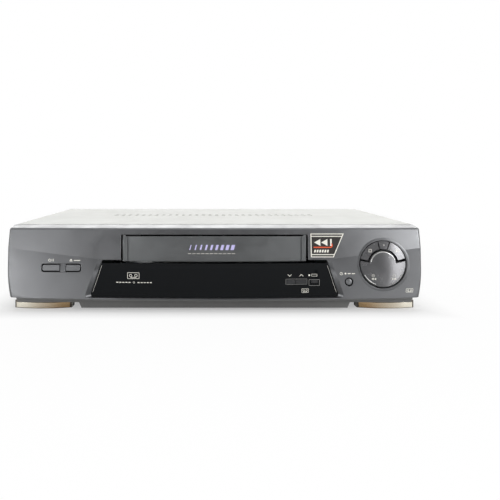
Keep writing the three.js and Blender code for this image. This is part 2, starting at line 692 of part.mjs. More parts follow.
function basePiece() {
  const frontY = reachY(base.reach);
  const lipFront = [];
  for (let i = 0; i <= 2 * facets.sweep; i += 1) {
    const x = lerp(-base.half, base.half, i / (2 * facets.sweep));
    lipFront.push([x, reachY(frontReach(x, fascia.bottom) - base.lipIn)]);
  }
  const lip = alongZ(
    shapeOf([...lipFront, [base.half, base.backY], [-base.half, base.backY]]), base.lipLow, base.top);
  const rail = box(-base.half, base.half, frontY, base.backY, base.bottom, base.lipLow + touchGap);
  const ends = shapeOf([
    [-base.half + base.endTaper, base.bottom], [base.half - base.endTaper, base.bottom],
    [base.half, base.top], [-base.half, base.top],
  ]);
  const ledge = join(lip, rail).intersect(alongY(ends, edgeY - depth, edgeY + depth));
  const face = shapeOf([
    [-base.skirtLowHalf, base.skirtBottom], [base.skirtLowHalf, base.skirtBottom],
    [base.skirtTopHalf, base.bottom + touchGap], [-base.skirtTopHalf, base.bottom + touchGap],
  ]);
  const skirt = alongY(face, frontY, frontY + base.skirtThick);
  const ribs = [];
  for (let i = 0; i < base.ribCount; i += 1) {
    const x = lerp(-base.skirtLowHalf, base.skirtLowHalf, (i + unit / 2) / base.ribCount);
    ribs.push(box(
      x - base.skirtThick / 2, x + base.skirtThick / 2, frontY + base.skirtThick / 2, frontY + base.ribDeep,
      base.skirtBottom, base.bottom + touchGap));
  }
  return join(ledge, skirt, ...ribs);
}

// Feet: broad front ones with a bowed face and a gold band let into it, round ones at the back
const foot = {
  x: base.half - 25.1, half: 30.5, frontY: behindFront(11), arc: 90, long: 19, top: 8.1,
  band: 1, bandDeep: 1.3, bandLow: 0.6, bandHigh: 6.2, bandEnd: 1.5,
  rearX: base.half - 39.5, rearY: beforeRear(36), rearRadius: 15, rearTop: 11.2, rearLow: 13,
};

function footOutline(forward, halfWide) {
  const shape = new THREE.Shape();
  const centreY = foot.frontY + foot.arc;
  const radius = foot.arc + forward;
  const swing = Math.asin(halfWide / radius);
  shape.absarc(0, centreY, radius, -quarterTurn - swing, -quarterTurn + swing, false);
  shape.lineTo(halfWide, foot.frontY + foot.long);
  shape.lineTo(-halfWide, foot.frontY + foot.long);
  return shape;
}

function frontFoot() {
  const body = alongZ(footOutline(0, foot.half), 0, foot.top, facets.sweep);
  const groove = cut(
    alongZ(footOutline(overrun, foot.half - foot.bandEnd), foot.bandLow - touchGap, foot.bandHigh + touchGap,
      facets.sweep),
    rod('z', 0, foot.frontY + foot.arc, 0, foot.top, foot.arc - foot.bandDeep, facets.arc));
  return cut(body, groove);
}

function footTrim() {
  const arc = foot.arc;
  const swing = Math.asin((foot.half - foot.bandEnd - touchGap) / arc) / degree;
  const middle = -quarterTurn / degree;
  return alongZ(
    sectorShape(0, foot.frontY + arc, arc - foot.band, arc + touchGap, middle - swing, middle + swing),
    foot.bandLow, foot.bandHigh, facets.sweep);
}

const rearFoot = () => turned([
  [0, 0], [foot.rearLow, 0], [foot.rearRadius, foot.rearLow / foot.rearRadius],
  [foot.rearRadius, foot.rearTop], [0, foot.rearTop],
]);

// Boards, supply and sockets
const board = {
  bottom: 14.8, thick: 1.6, half: cover.half - 10.7, frontY: behindFront(33), backY: beforeRear(11), postRadius: 2.5,
};
const drumY = beforeRear(49);
const beforeDrum = (distance) => drumY - distance;
const deck = {
  bottom: 25, thick: 1.5, half: 104, frontY: beforeDrum(136), backY: drumY + 36, margin: 6,
  postRadius: 3, shaft: 1.5, shaftFit: 0.3,
};
const deckTop = deck.bottom + deck.thick;
const seatZ = deckTop + touchGap;
const boardTop = board.bottom + board.thick;
const postIn = 10;
const boardPosts = [
  [postIn - board.half, board.frontY + postIn], [board.half - postIn, board.frontY + postIn],
  [-deck.half - 16, board.backY - postIn], [deck.half + 36, beforeRear(81)],
];
const deckFeet = [-1, 1].flatMap((side) => [
  [side * (deck.half - deck.margin), deck.frontY + deck.margin],
  [side * (deck.half - deck.margin), deck.backY - deck.margin],
]);
const frontBoard = {
  thick: 1.6, half: fromSide(13.5), bottom: 17.5, middleTop: lens.top - 4.1, wing: 108, top: belowTop(9.7), switchHalf: 2.6,
};
const tube = {
  left: 63.8 - lens.topHalf, right: keys.left - 13, bottom: 23, top: lens.top - 5.6, thick: 7, tip: 3,
};
const transformer = {
  left: 12.7 - cover.half, right: 68.7 - cover.half, front: beforeRear(111), back: beforeRear(57), top: 62,
  coilIn: 10, coilTop: 66, coilOut: 6,
};
const capacitor = { x: -deck.half - 23, y: beforeRear(137), radius: 12, top: 52, groove: 1, grooveZ: 47 };
const sink = {
  left: -deck.half - 40, right: -deck.half - 8, front: beforeRear(197), base: 3, back: beforeRear(161), top: 58,
  fins: 7, fin: 1.6,
};
const inlet = {
  x: 35.7 - cover.half, z: 40, wide: 20, high: 12, flange: 3, flangeThick: 1.2, deep: 16, hollow: 13, wall: 1.6,
  pin: 1.2, pinSpread: 3.4,
};
const scart = {
  xs: [cover.half - 153.7, cover.half - 95.7], z: 42, wide: 47, high: 15, corner: 3.5, flange: 3, flangeThick: 1.4, deep: 18, wall: 1.4,
  hollow: 15, tongueWide: 38, tongueHigh: 2.4,
};
const jacks = {
  xs: [239.7, 224.7, 209.7].map((inward) => cover.half - inward), z: 42, barrel: 4.3, bore: 3, reach: 4,
  margin: 8, high: 16, thick: 7,
};
const tuner = {
  left: cover.half - 65.7, right: cover.half - 9.7, front: beforeRear(45), top: 54,
  jackXs: [cover.half - 51.7, cover.half - 25.7], jackZ: 38, jack: 4.8, bore: 3.2,
};
const panelFit = 0.4;
const panelInner = rearY - panel.thick;

function scartOutline(grow) {
  const [w, h, c] = [scart.wide / 2 + grow, scart.high / 2 + grow, scart.corner];
  return shapeOf([[-w, -h], [w - c, -h], [w, -h + c], [w, h], [-w, h]]);
}

const jackHole = (x, z, radius) => rod(
  'y', x, panelInner - overrun, z, panel.thick + 2 * overrun, radius + panelFit, facets.medium);

function rearPanel() {
  const half = cover.half - cover.wall - panel.sideFit;
  const plate = alongY(roundedShape(-half, half, panel.bottom, panel.top, cover.round), panelInner, rearY);
  const through = (shape) => alongY(shape, panelInner - overrun, rearY + overrun);
  const holes = [
    ...jacks.xs.map((x) => jackHole(x, jacks.z, jacks.barrel)),
    ...tuner.jackXs.map((x) => jackHole(x, tuner.jackZ, tuner.jack)),
    through(roundedShape(
      inlet.x - inlet.wide / 2 - panelFit, inlet.x + inlet.wide / 2 + panelFit,
      inlet.z - inlet.high / 2 - panelFit, inlet.z + inlet.high / 2 + panelFit, inlet.high / 2)),
  ];
  const sockets = scart.xs.map((x) => {
    const geometry = new THREE.ExtrudeGeometry(scartOutline(panelFit), {
      depth: panel.thick + 2 * overrun, bevelEnabled: false });
    geometry.rotateX(quarterTurn);
    geometry.translate(x, rearY + overrun, scart.z);
    return solid(geometry);
  });
  const slots = [];
  for (let i = 0; i < panel.slots; i += 1) {
    const x = panel.slotX + i * panel.slotPitch;
    slots.push(box(
      x - panel.slotWide / 2, x + panel.slotWide / 2, panelInner - overrun, rearY + overrun,
      panel.slotLow, panel.slotHigh));
  }
  return cut(plate, ...holes, ...sockets, ...slots);
}

// One multi-pin socket about its own middle, opening towards +Y
function scartSocket() {
  const outside = rearY + touchGap;
  const flange = alongY(scartOutline(scart.flange), outside, outside + scart.flangeThick);
  const body = alongY(scartOutline(0), outside + scart.flangeThick - scart.deep, outside + scart.flangeThick);
  const mouth = outside + scart.flangeThick - scart.hollow;
  const hollow = alongY(scartOutline(-scart.wall), mouth, rearY + depth);
  const tongue = box(
    -scart.tongueWide / 2, scart.tongueWide / 2, mouth - scart.wall / 2, outside,
    -scart.tongueHigh / 2, scart.tongueHigh / 2);
  return join(cut(join(flange, body), hollow), tongue);
}

function mainsInlet() {
  const outside = rearY + touchGap;
  const face = outside + inlet.flangeThick;
  const [w, h] = [inlet.wide / 2, inlet.high / 2];
  const shape = (grow) => roundedShape(
    inlet.x - w - grow, inlet.x + w + grow, inlet.z - h - grow, inlet.z + h + grow, h + grow);
  const shell = join(
    alongY(shape(0), face - inlet.deep, face),
    alongY(shape(inlet.flange), outside, face));
  const pins = [1, -1].map((side) => rod(
    'y', inlet.x + side * inlet.pinSpread, face - inlet.hollow - inlet.wall / 2, inlet.z,
    inlet.hollow - inlet.wall, inlet.pin, facets.tiny));
  return join(cut(shell, alongY(shape(-inlet.wall), face - inlet.hollow, rearY + depth)), ...pins);
}

function jackBlock() {
  const back = panelInner - touchGap;
  const block = box(
    jacks.xs[0] - jacks.margin, jacks.xs.at(-1) + jacks.margin, back - jacks.thick, back,
    jacks.z - jacks.high / 2, jacks.z + jacks.high / 2);
  const reach = rearY + jacks.reach;
  const barrels = jacks.xs.map((x) => rod(
    'y', x, back - jacks.thick / 2, jacks.z, reach - back + jacks.thick / 2, jacks.barrel));
  const bores = jacks.xs.map((x) => rod('y', x, back, jacks.z, depth, jacks.bore, facets.small));
  return cut(join(block, ...barrels), ...bores);
}

function tunerModule() {
  const back = panelInner - touchGap;
  const can = box(tuner.left, tuner.right, tuner.front, back, boardTop + touchGap, tuner.top);
  const barrels = tuner.jackXs.map((x) => rod(
    'y', x, back - tuner.jack, tuner.jackZ, rearY + socketReach - back + tuner.jack, tuner.jack));
  const bores = tuner.jackXs.map((x) => rod('y', x, back, tuner.jackZ, depth, tuner.bore, facets.small));
  return cut(join(can, ...barrels), ...bores);
}

function mainBoard() {
  const plate = box(-board.half, board.half, board.frontY, board.backY, board.bottom, boardTop);
  const holes = deckFeet.map(([x, y]) => rod(
    'z', x, y, board.bottom - overrun, board.thick + 2 * overrun, deck.postRadius + panelFit, facets.small));
  return cut(plate, ...holes);
}

function frontBoardPiece() {
  const { half: w, bottom, middleTop, wing, top } = frontBoard;
  const shape = shapeOf([
    [-w, bottom], [w, bottom], [w, top], [wing, top], [wing, middleTop], [-wing, middleTop], [-wing, top], [-w, top]]);
  const plate = alongY(shape, boardY, boardY + frontBoard.thick);
  const switches = plungers.map(([x, z]) => box(
    x - frontBoard.switchHalf, x + frontBoard.switchHalf, boardY - button.switchHigh, boardY + touchGap,
    z - frontBoard.switchHalf, z + frontBoard.switchHalf));
  return join(plate, ...switches);
}

function displayTube() {
  const back = boardY - touchGap;
  const middle = (tube.bottom + tube.top) / 2;
  return join(
    alongY(roundedShape(tube.left, tube.right, tube.bottom, tube.top, 1), back - tube.thick, back),
    rod(
      'x', tube.right - touchGap, back - tube.thick / 2, middle, tube.tip, tube.thick / 3,
      facets.small, tube.thick / 6));
}

function transformerPiece() {
  const { left, right, front, back, top, coilIn, coilTop, coilOut } = transformer;
  const low = boardTop + touchGap;
  const core = box(left, right, front, back, low, top);
  const coil = alongZ(
    roundedShape(left + coilIn, right - coilIn, front - coilOut, back + coilOut, coilOut), low + coilOut, coilTop);
  return join(core, coil);
}

function capacitorPiece() {
  const low = boardTop + touchGap;
  const { radius, groove, grooveZ, top } = capacitor;
  return turned([
    [0, low], [radius, low], [radius, grooveZ - groove], [radius - groove, grooveZ],
    [radius, grooveZ + groove], [radius, top - groove], [radius - groove, top], [0, top],
  ], facets.medium);
}

function heatSink() {
  const low = boardTop + touchGap;
  const plate = box(sink.left, sink.right, sink.front, sink.front + sink.base, low, sink.top);
  const fins = [];
  for (let i = 0; i < sink.fins; i += 1) {
    const x = lerp(sink.left, sink.right - sink.fin, i / (sink.fins - 1));
    fins.push(box(x, x + sink.fin, sink.front + sink.base / 2, sink.back, low, sink.top));
  }
  return join(plate, ...fins);
}

// Cassette loader: fixed sides and bridge, a slider that runs back, and a carriage that drops in it
const loader = {
  sideInner: 100.8, sideOuter: 102.2, frontY: behindFront(35), backY: beforeDrum(16), top: belowTop(5.7),
  slotLow: belowTop(13.6), slotHigh: belowTop(9.8), slide: 57, drop: 16,
  bridgeThick: 1.2, bridgeFront: behindFront(115), bridgeBack: behindFront(157), windowLow: 40, windowHigh: belowTop(23.7),
  windowFront: behindFront(89), windowBack: beforeDrum(68), footFront: behindFront(86),
};
const slider = {
  inner: 99.2, outer: 100.2, front: behindFront(53), back: behindFront(113), bottom: belowTop(39.7), top: belowTop(7.3),
  barThick: 1.5, barWide: 10, pin: 1.6, pinYs: [behindFront(63), behindFront(101)], pinZ: belowTop(11.7), pinOut: 1.7,
};
const carriage = {
  outer: 98.6, wall: 1.2, front: behindFront(34.2), back: behindFront(136),
  bottom: belowTop(38.9), top: belowTop(9.5), ledgeInner: 75,
  pin: 1.5, pinY: behindFront(83), pinZ: belowTop(17.7), pinOut: 1.8, pinFit: 0.35,
  windowHalf: 60, windowFront: behindFront(63), windowBack: behindFront(113),
};

function loaderSide(side) {
  const plate = box(loader.sideInner, loader.sideOuter, loader.frontY, loader.backY, seatZ, loader.top);
  const slotEnds = [Math.min(...slider.pinYs), Math.max(...slider.pinYs) + loader.slide];
  const slot = box(
    loader.sideInner - overrun, loader.sideOuter + overrun, slotEnds[0] - slider.pin - touchGap,
    slotEnds[1] + slider.pin + touchGap, loader.slotLow, loader.slotHigh);
  const window = box(
    loader.sideInner - overrun, loader.sideOuter + overrun, loader.windowFront, loader.windowBack,
    loader.windowLow, loader.windowHigh);
  const forward = box(
    loader.sideInner - overrun, loader.sideOuter + overrun, loader.frontY - overrun, loader.footFront,
    seatZ - overrun, loader.windowLow);
  return mirrored(cut(plate, slot, window, forward), side);
}

function mirrored(manifold, side) {
  if (side > 0) return manifold;
  const geometry = geometryOf(manifold);
  geometry.scale(-unit, unit, unit);
  return solid(geometry);
}

const loaderBridge = () => box(
  -loader.sideOuter, loader.sideOuter, loader.bridgeFront, loader.bridgeBack,
  loader.top + touchGap, loader.top + touchGap + loader.bridgeThick);

function sliderSide() {
  const plate = box(slider.inner, slider.outer, slider.front, slider.back, slider.bottom, slider.top);
  const slot = box(
    slider.inner - overrun, slider.outer + overrun, carriage.pinY - carriage.pin - carriage.pinFit,
    carriage.pinY + carriage.pin + carriage.pinFit, carriage.pinZ - loader.drop - carriage.pin - carriage.pinFit,
    carriage.pinZ + carriage.pin + carriage.pinFit);
  const pins = slider.pinYs.map((y) => rod(
    'x', slider.inner, y, slider.pinZ, slider.outer - slider.inner + slider.pinOut, slider.pin, facets.small));
  return join(cut(plate, slot), ...pins);
}

function sliderPiece() {
  const right = sliderSide();
  const bar = box(
    -slider.outer, slider.outer, slider.back - slider.barWide, slider.back,
    slider.top - slider.barThick, slider.top);
  return join(right, mirrored(right, -1), bar);
}

function carriagePiece() {
  const c = carriage;
  const side = join(
    box(c.outer - c.wall, c.outer, c.front, c.back, c.bottom, c.top),
    box(c.ledgeInner, c.outer, c.front, c.back, c.bottom, c.bottom + c.wall),
    rod('x', c.outer - c.wall / 2, c.pinY, c.pinZ, c.wall / 2 + c.pinOut, c.pin, facets.small),
  );
  const roof = cut(
    box(-c.outer, c.outer, c.front, c.back, c.top - c.wall, c.top),
    box(-c.windowHalf, c.windowHalf, c.windowFront, c.windowBack, c.bottom, c.top + overrun),
  );
  return join(side, mirrored(side, -1), roof);
}

// Tape deck: places on the deck plate, and the heights of what stands there
const drum = {
  x: 0, y: drumY, radius: 31, lowTop: 43.8, gap: 0.4, top: 56, bore: 3.4, shaft: 3, shaftDeep: 12,
  rim: 3, dish: 4, step: 1.2,
};
const reel = {
  xs: { supply: -46.1, takeup: 46.1 }, y: beforeDrum(84), table: 17, tableTop: 32, hub: 6, spindle: 4.6,
  tip: 2.6, top: 44, bore: 4, key: 1.2, keyTop: 40, shaftTop: 33,
};
const capstan = {
  x: 44, y: beforeDrum(24), shaft: 2, top: 54, rotor: 20, rotorBottom: 17.2, rotorTop: 21.4,
  stator: 21, statorBottom: 21.8, bore: 2.5,
};
const pinch = {
  x: capstan.x + 30, y: capstan.y - 6, arm: 22, restAngle: 207, hub: 4, thick: 3, bottom: 28, wide: 5, pin: 1.5,
  roller: 7, rollerLow: 33, rollerHigh: 48, pinTop: 50, fit: 0.35,
};
const guides = {
  supply: { from: [-30, beforeDrum(46)], to: [-38, beforeDrum(18)] },
  takeup: { from: [28, beforeDrum(46)], to: [34, beforeDrum(18)] },
  base: 5, baseTop: 30, post: 1.5, roller: 3, rollerLow: 34, rollerHigh: 43, top: 46, slotFit: 0.35,
};
const gears = {
  x: -66, y: beforeDrum(12), module: 1, camTeeth: 36, pinionTeeth: 12, thick: 4, hub: 5, hubTop: 36,
  tipShare: 0.2, rootShare: 0.6, addendumShare: 0.9, dedendumShare: 1.25,
};
gears.pinionY = gears.y + (gears.module * (gears.camTeeth + gears.pinionTeeth)) / 2 + touchGap;
const motor = { radius: 10, bottom: 36, top: 56, legX: 13, legWide: 4, shaft: 1.2, boss: 3 };
const tension = {
  x: -78, y: beforeDrum(56), tipX: -57, tipY: beforeDrum(48), hub: 3.5, bottom: 27.4, thick: 2.5, wide: 4,
  post: 1.4, top: 43,
};
const heads = {
  control: { x: 50, y: beforeDrum(8), wide: 9, deep: 6, top: 47 },
  erase: { x: -45.5, y: beforeDrum(28), wide: 5, deep: 5, top: 43 },
};

function slotBetween([x0, y0], [x1, y1], halfWide) {
  const along = new THREE.Vector2(x1 - x0, y1 - y0).normalize().multiplyScalar(halfWide);
  return shapeOf([
    [x0 - along.x + along.y, y0 - along.y - along.x], [x1 + along.x + along.y, y1 + along.y - along.x],
    [x1 + along.x - along.y, y1 + along.y + along.x], [x0 - along.x - along.y, y0 - along.y + along.x],
  ]);
}

function deckPlate() {
  const plate = box(-deck.half, deck.half, deck.frontY, deck.backY, deck.bottom, deckTop);
  const shafts = [
    [reel.xs.supply, reel.y, reel.shaftTop], [reel.xs.takeup, reel.y, reel.shaftTop],
    [gears.x, gears.y, gears.hubTop], [pinch.x, pinch.y, pinch.bottom + pinch.thick],
    [tension.x, tension.y, tension.bottom + tension.thick],
  ].map(([x, y, top]) => rod('z', x, y, deck.bottom, top - deck.bottom, deck.shaft, facets.small));
  const slots = [guides.supply, guides.takeup].map(({ from, to }) => alongZ(
    slotBetween(from, to, guides.post + guides.slotFit), deck.bottom - overrun, deckTop + overrun));
  const hole = rod(
    'z', capstan.x, capstan.y, deck.bottom - overrun, deck.thick + 2 * overrun, capstan.bore, facets.small);
  return cut(join(plate, ...shafts), ...slots, hole);
}

const lowerDrum = () => turned([
  [drum.bore, seatZ], [drum.radius, seatZ], [drum.radius, drum.lowTop - drum.step],
  [drum.radius - drum.step, drum.lowTop], [drum.bore, drum.lowTop], [drum.bore, seatZ],
], facets.large);

const upperDrum = () => {
  const low = drum.lowTop + drum.gap;
  return turned([
    [0, low - drum.shaftDeep], [drum.shaft, low - drum.shaftDeep], [drum.shaft, low], [drum.radius, low],
    [drum.radius, drum.top], [drum.radius - drum.rim, drum.top], [drum.radius - drum.rim, drum.top - drum.dish],
    [drum.radius / 2, drum.top - drum.dish], [drum.radius / 2, drum.top - drum.step], [0, drum.top - drum.step],
  ], facets.large);
};

const capstanStator = () => cut(
  rod('z', 0, 0, capstan.statorBottom, deck.bottom - touchGap - capstan.statorBottom, capstan.stator, facets.large),
  rod('z', 0, 0, capstan.statorBottom - overrun, deck.bottom, capstan.bore, facets.small));

const capstanRotor = () => turned([
  [0, capstan.rotorBottom], [capstan.rotor, capstan.rotorBottom], [capstan.rotor, capstan.rotorTop],
  [capstan.shaft, capstan.rotorTop], [capstan.shaft, capstan.top], [0, capstan.top],
], facets.medium);

// A flat lever from its pivot to its tip, with a hub over a deck shaft and a pin at the tip
function lever({ hub, bottom, thick, wide }, reach, angle, pinRadius, pinTop) {
  const tip = [reach * Math.cos(angle), reach * Math.sin(angle)];
  const blade = alongZ(slotBetween([0, 0], tip, wide / 2), bottom, bottom + thick);
  const body = join(
    blade,
    rod('z', 0, 0, bottom, thick, hub, facets.small),
    rod('z', tip[0], tip[1], bottom, pinTop - bottom, pinRadius, facets.small));
  return cut(body, rod('z', 0, 0, 0, deck.half, deck.shaft + deck.shaftFit, facets.small));
}

const pinchAngle = pinch.restAngle * degree;
const pinchTip = [pinch.x + pinch.arm * Math.cos(pinchAngle), pinch.y + pinch.arm * Math.sin(pinchAngle)];
const pinchArm = () => lever(pinch, pinch.arm, pinchAngle, pinch.pin, pinch.pinTop);
const pinchRoller = () => turned([
  [pinch.pin + pinch.fit, pinch.rollerLow], [pinch.roller, pinch.rollerLow], [pinch.roller, pinch.rollerHigh],
  [pinch.pin + pinch.fit, pinch.rollerHigh], [pinch.pin + pinch.fit, pinch.rollerLow],
], facets.medium);

const tensionReach = Math.hypot(tension.tipX - tension.x, tension.tipY - tension.y);
const tensionAngle = Math.atan2(tension.tipY - tension.y, tension.tipX - tension.x);
const tensionArm = () => lever(tension, tensionReach, tensionAngle, tension.post, tension.top);

function reelTable() {
  const bore = deck.shaft + deck.shaftFit;
  const body = turned([
    [0, reel.shaftTop + touchGap], [bore, reel.shaftTop + touchGap], [bore, seatZ], [reel.table, seatZ],
    [reel.table, reel.tableTop], [reel.hub, reel.tableTop], [reel.spindle, reel.tableTop + reel.bore],
    [reel.spindle, reel.keyTop], [reel.tip, reel.top], [0, reel.top],
  ], facets.medium);
  const keyShapes = [0, 1, 2].map((third) => {
    const angle = (third * 4 * quarterTurn) / 3;
    const reach = reel.spindle + reel.key;
    return alongZ(
      slotBetween([0, 0], [reach * Math.cos(angle), reach * Math.sin(angle)], reel.key / 2),
      reel.tableTop + touchGap, reel.keyTop);
  }).map((key) => cut(key, rod('z', 0, 0, 0, reel.shaftTop + unit, reel.spindle - reel.key, facets.small)));
  return join(body, ...keyShapes);
}

const tapeGuide = () => turned([
  [0, deck.bottom + touchGap], [guides.post, deck.bottom + touchGap], [guides.post, seatZ], [guides.base, seatZ],
  [guides.base, guides.baseTop], [guides.post, guides.baseTop], [guides.post, guides.rollerLow],
  [guides.roller, guides.rollerLow], [guides.roller, guides.rollerHigh], [guides.post, guides.rollerHigh],
  [guides.post, guides.top], [0, guides.top],
], facets.small);

function gearShape(teeth, phase) {
  const pitch = (gears.module * teeth) / 2;
  const tip = pitch + gears.module * gears.addendumShare;
  const root = pitch - gears.module * gears.dedendumShare;
  const step = (2 * Math.PI) / teeth;
  const outline = [];
  for (let i = 0; i < teeth; i += 1) {
    const middle = phase + i * step;
    const corners = [[root, -gears.rootShare], [tip, -gears.tipShare], [tip, gears.tipShare], [root, gears.rootShare]];
    for (const [radius, share] of corners) {
      const angle = middle + (share * step) / 2;
      outline.push([radius * Math.cos(angle), radius * Math.sin(angle)]);
    }
  }
  return shapeOf(outline);
}

function camGear() {
  const bore = deck.shaft + deck.shaftFit;
  const step = (2 * Math.PI) / gears.camTeeth;
  const body = join(
    alongZ(gearShape(gears.camTeeth, quarterTurn + step / 2), seatZ, seatZ + gears.thick),
    rod('z', 0, 0, seatZ, gears.hubTop - seatZ, gears.hub));
  return cut(body, rod('z', 0, 0, 0, gears.hubTop + overrun, bore, facets.small));
}

const loadingPinion = () => join(
  alongZ(gearShape(gears.pinionTeeth, -quarterTurn), seatZ, seatZ + gears.thick + motor.shaft),
  rod('z', 0, 0, seatZ + gears.thick, motor.bottom - touchGap - seatZ - gears.thick, motor.shaft * 2, facets.small));

function loadingMotor() {
  const can = rod('z', 0, 0, motor.bottom, motor.top - motor.bottom, motor.radius, facets.medium);
  const boss = rod('z', 0, 0, motor.top - touchGap, motor.boss, motor.boss, facets.small);
  const strap = box(-motor.legX, motor.legX, -motor.legWide, motor.legWide, motor.bottom, motor.bottom + motor.boss);
  const legs = [1, -1].map((side) => {
    const [x0, x1] = [side * motor.legX, side * (motor.legX - motor.shaft * 2)].sort((a, b) => a - b);
    return box(x0, x1, -motor.legWide, motor.legWide, seatZ, motor.bottom + motor.boss);
  });
  return join(can, boss, strap, ...legs);
}

function tapeHead({ x, y, wide, deep, top }) {
  return alongZ(roundedShape(x - wide / 2, x + wide / 2, y - deep / 2, y + deep / 2, touchGap), seatZ, top, facets.tight);
}

const looks = {
  fascia: { color: 0x74797a, roughness: 0.45, metalness: 0.1 },
  button: { color: 0x7d8283, roughness: 0.4, metalness: 0.1 },
  dial: { color: 0x9a9c9c, roughness: 0.35, metalness: 0.3 },
  window: { color: 0x15181a, roughness: 0.08, metalness: 0 },
  cover: { color: 0xc9c9c4, roughness: 0.4, metalness: 0.1 },
  base: { color: 0x5a5b59, roughness: 0.55, metalness: 0 },
  foot: { color: 0x2b2926, roughness: 0.6, metalness: 0 },
  gold: { color: 0xb8a67d, roughness: 0.3, metalness: 0.9 },
  steel: { color: 0xa9abad, roughness: 0.4, metalness: 0.9 },
  drum: { color: 0xc8cacc, roughness: 0.2, metalness: 1 },
  brass: { color: 0xb59a55, roughness: 0.35, metalness: 0.9 },
  black: { color: 0x1b1b1c, roughness: 0.5, metalness: 0 },
  white: { color: 0xd9d6cc, roughness: 0.5, metalness: 0 },
  rubber: { color: 0x232323, roughness: 0.85, metalness: 0 },
  board: { color: 0x2f5a36, roughness: 0.6, metalness: 0 },
  glass: { color: 0x26332f, roughness: 0.1, metalness: 0 },
  coil: { color: 0x9b5a2c, roughness: 0.5, metalness: 0.4 },
};

const recorder = new THREE.Group();

function add(name, body, look, x = 0, y = 0, z = 0) {
  const mesh = new THREE.Mesh(geometryOf(body), new THREE.MeshStandardMaterial(looks[look]));
  mesh.name = name;
  mesh.position.set(x, y, z);
  recorder.add(mesh);
}

add('front_fascia', fasciaPiece(), 'fascia');
add('display_window', lensPiece(), 'window');
add('cassette_door', doorPiece(), 'fascia');
add('power_button', pillButton(pill.left, pill.dividerLeft - pill.gap, true, false), 'button');
add('eject_button', pillButton(pill.dividerRight + pill.gap, pill.right, false, true), 'button');
add('timer_button', timerButton(), 'button');
add('channel_down_button', keyButton(keys.left, keys.split - keys.splitGap / 2), 'button');
add('channel_up_button', keyButton(keys.split + keys.splitGap / 2, keys.right), 'button');
add('record_button', recordButton(), 'button');
for (const [name, arc] of Object.entries(ringButtons)) add(name, ringButton(arc), 'dial');
add('shuttle_disc', shuttleDisc(), 'dial');

add('top_cover', coverPiece(), 'cover');
screw.places.forEach(([side, y], i) => add(`cover_screw_${i + 1}`, screwPiece(side, y), 'steel'));
add('chassis_tray', trayPiece(), 'steel');
add('rear_panel', rearPanel(), 'black');
add('base_plinth', basePiece(), 'base');
for (const [name, side] of [['left', -1], ['right', 1]]) {
  add(`front_foot_${name}`, frontFoot(), 'foot', side * foot.x);
  add(`foot_trim_${name}`, footTrim(), 'gold', side * foot.x);
  add(`rear_foot_${name}`, rearFoot(), 'rubber', side * foot.rearX, foot.rearY);
}

add('front_board', frontBoardPiece(), 'board');
add('display_tube', displayTube(), 'glass');
add('main_board', mainBoard(), 'board');
add('mains_transformer', transformerPiece(), 'coil');
add('filter_capacitor', capacitorPiece(), 'black', capacitor.x, capacitor.y);
add('heat_sink', heatSink(), 'steel');
add('mains_inlet', mainsInlet(), 'black');
scart.xs.forEach((x, i) => add(`scart_socket_${i + 1}`, scartSocket(), 'black', x, 0, scart.z));
add('audio_jack_block', jackBlock(), 'black');
add('tuner_module', tunerModule(), 'steel');

add('deck_plate', deckPlate(), 'steel');
add('loader_side_left', loaderSide(-1), 'steel');
add('loader_side_right', loaderSide(1), 'steel');
add('loader_bridge', loaderBridge(), 'steel');
add('carriage_slider', sliderPiece(), 'steel');
add('cassette_carriage', carriagePiece(), 'steel');
add('lower_drum', lowerDrum(), 'drum', drum.x, drum.y);
add('upper_drum', upperDrum(), 'drum', drum.x, drum.y);
add('capstan_stator', capstanStator(), 'black', capstan.x, capstan.y);
add('capstan_rotor', capstanRotor(), 'drum', capstan.x, capstan.y);
add('pinch_arm', pinchArm(), 'steel', pinch.x, pinch.y);
add('pinch_roller', pinchRoller(), 'rubber', pinchTip[0], pinchTip[1]);
add('supply_reel_table', reelTable(), 'white', reel.xs.supply, reel.y);
add('takeup_reel_table', reelTable(), 'white', reel.xs.takeup, reel.y);
add('supply_guide', tapeGuide(), 'brass', ...guides.supply.from);
add('takeup_guide', tapeGuide(), 'brass', ...guides.takeup.from);
add('cam_gear', camGear(), 'white', gears.x, gears.y);
add('loading_pinion', loadingPinion(), 'white', gears.x, gears.pinionY);
add('loading_motor', loadingMotor(), 'steel', gears.x, gears.pinionY);
add('tension_arm', tensionArm(), 'steel', tension.x, tension.y);
add('audio_control_head', tapeHead(heads.control), 'drum');
add('erase_head', tapeHead(heads.erase), 'drum');

export default recorder;
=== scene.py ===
"""Looks of a front-loading video cassette recorder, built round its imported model.

Lengths are written in millimetres and become metres where a mesh is made. Angles are in degrees.
"""
import json
import math
from types import SimpleNamespace as Sizes

import bmesh
import bpy
from mathutils import Matrix, Vector
from mathutils.bvhtree import BVHTree


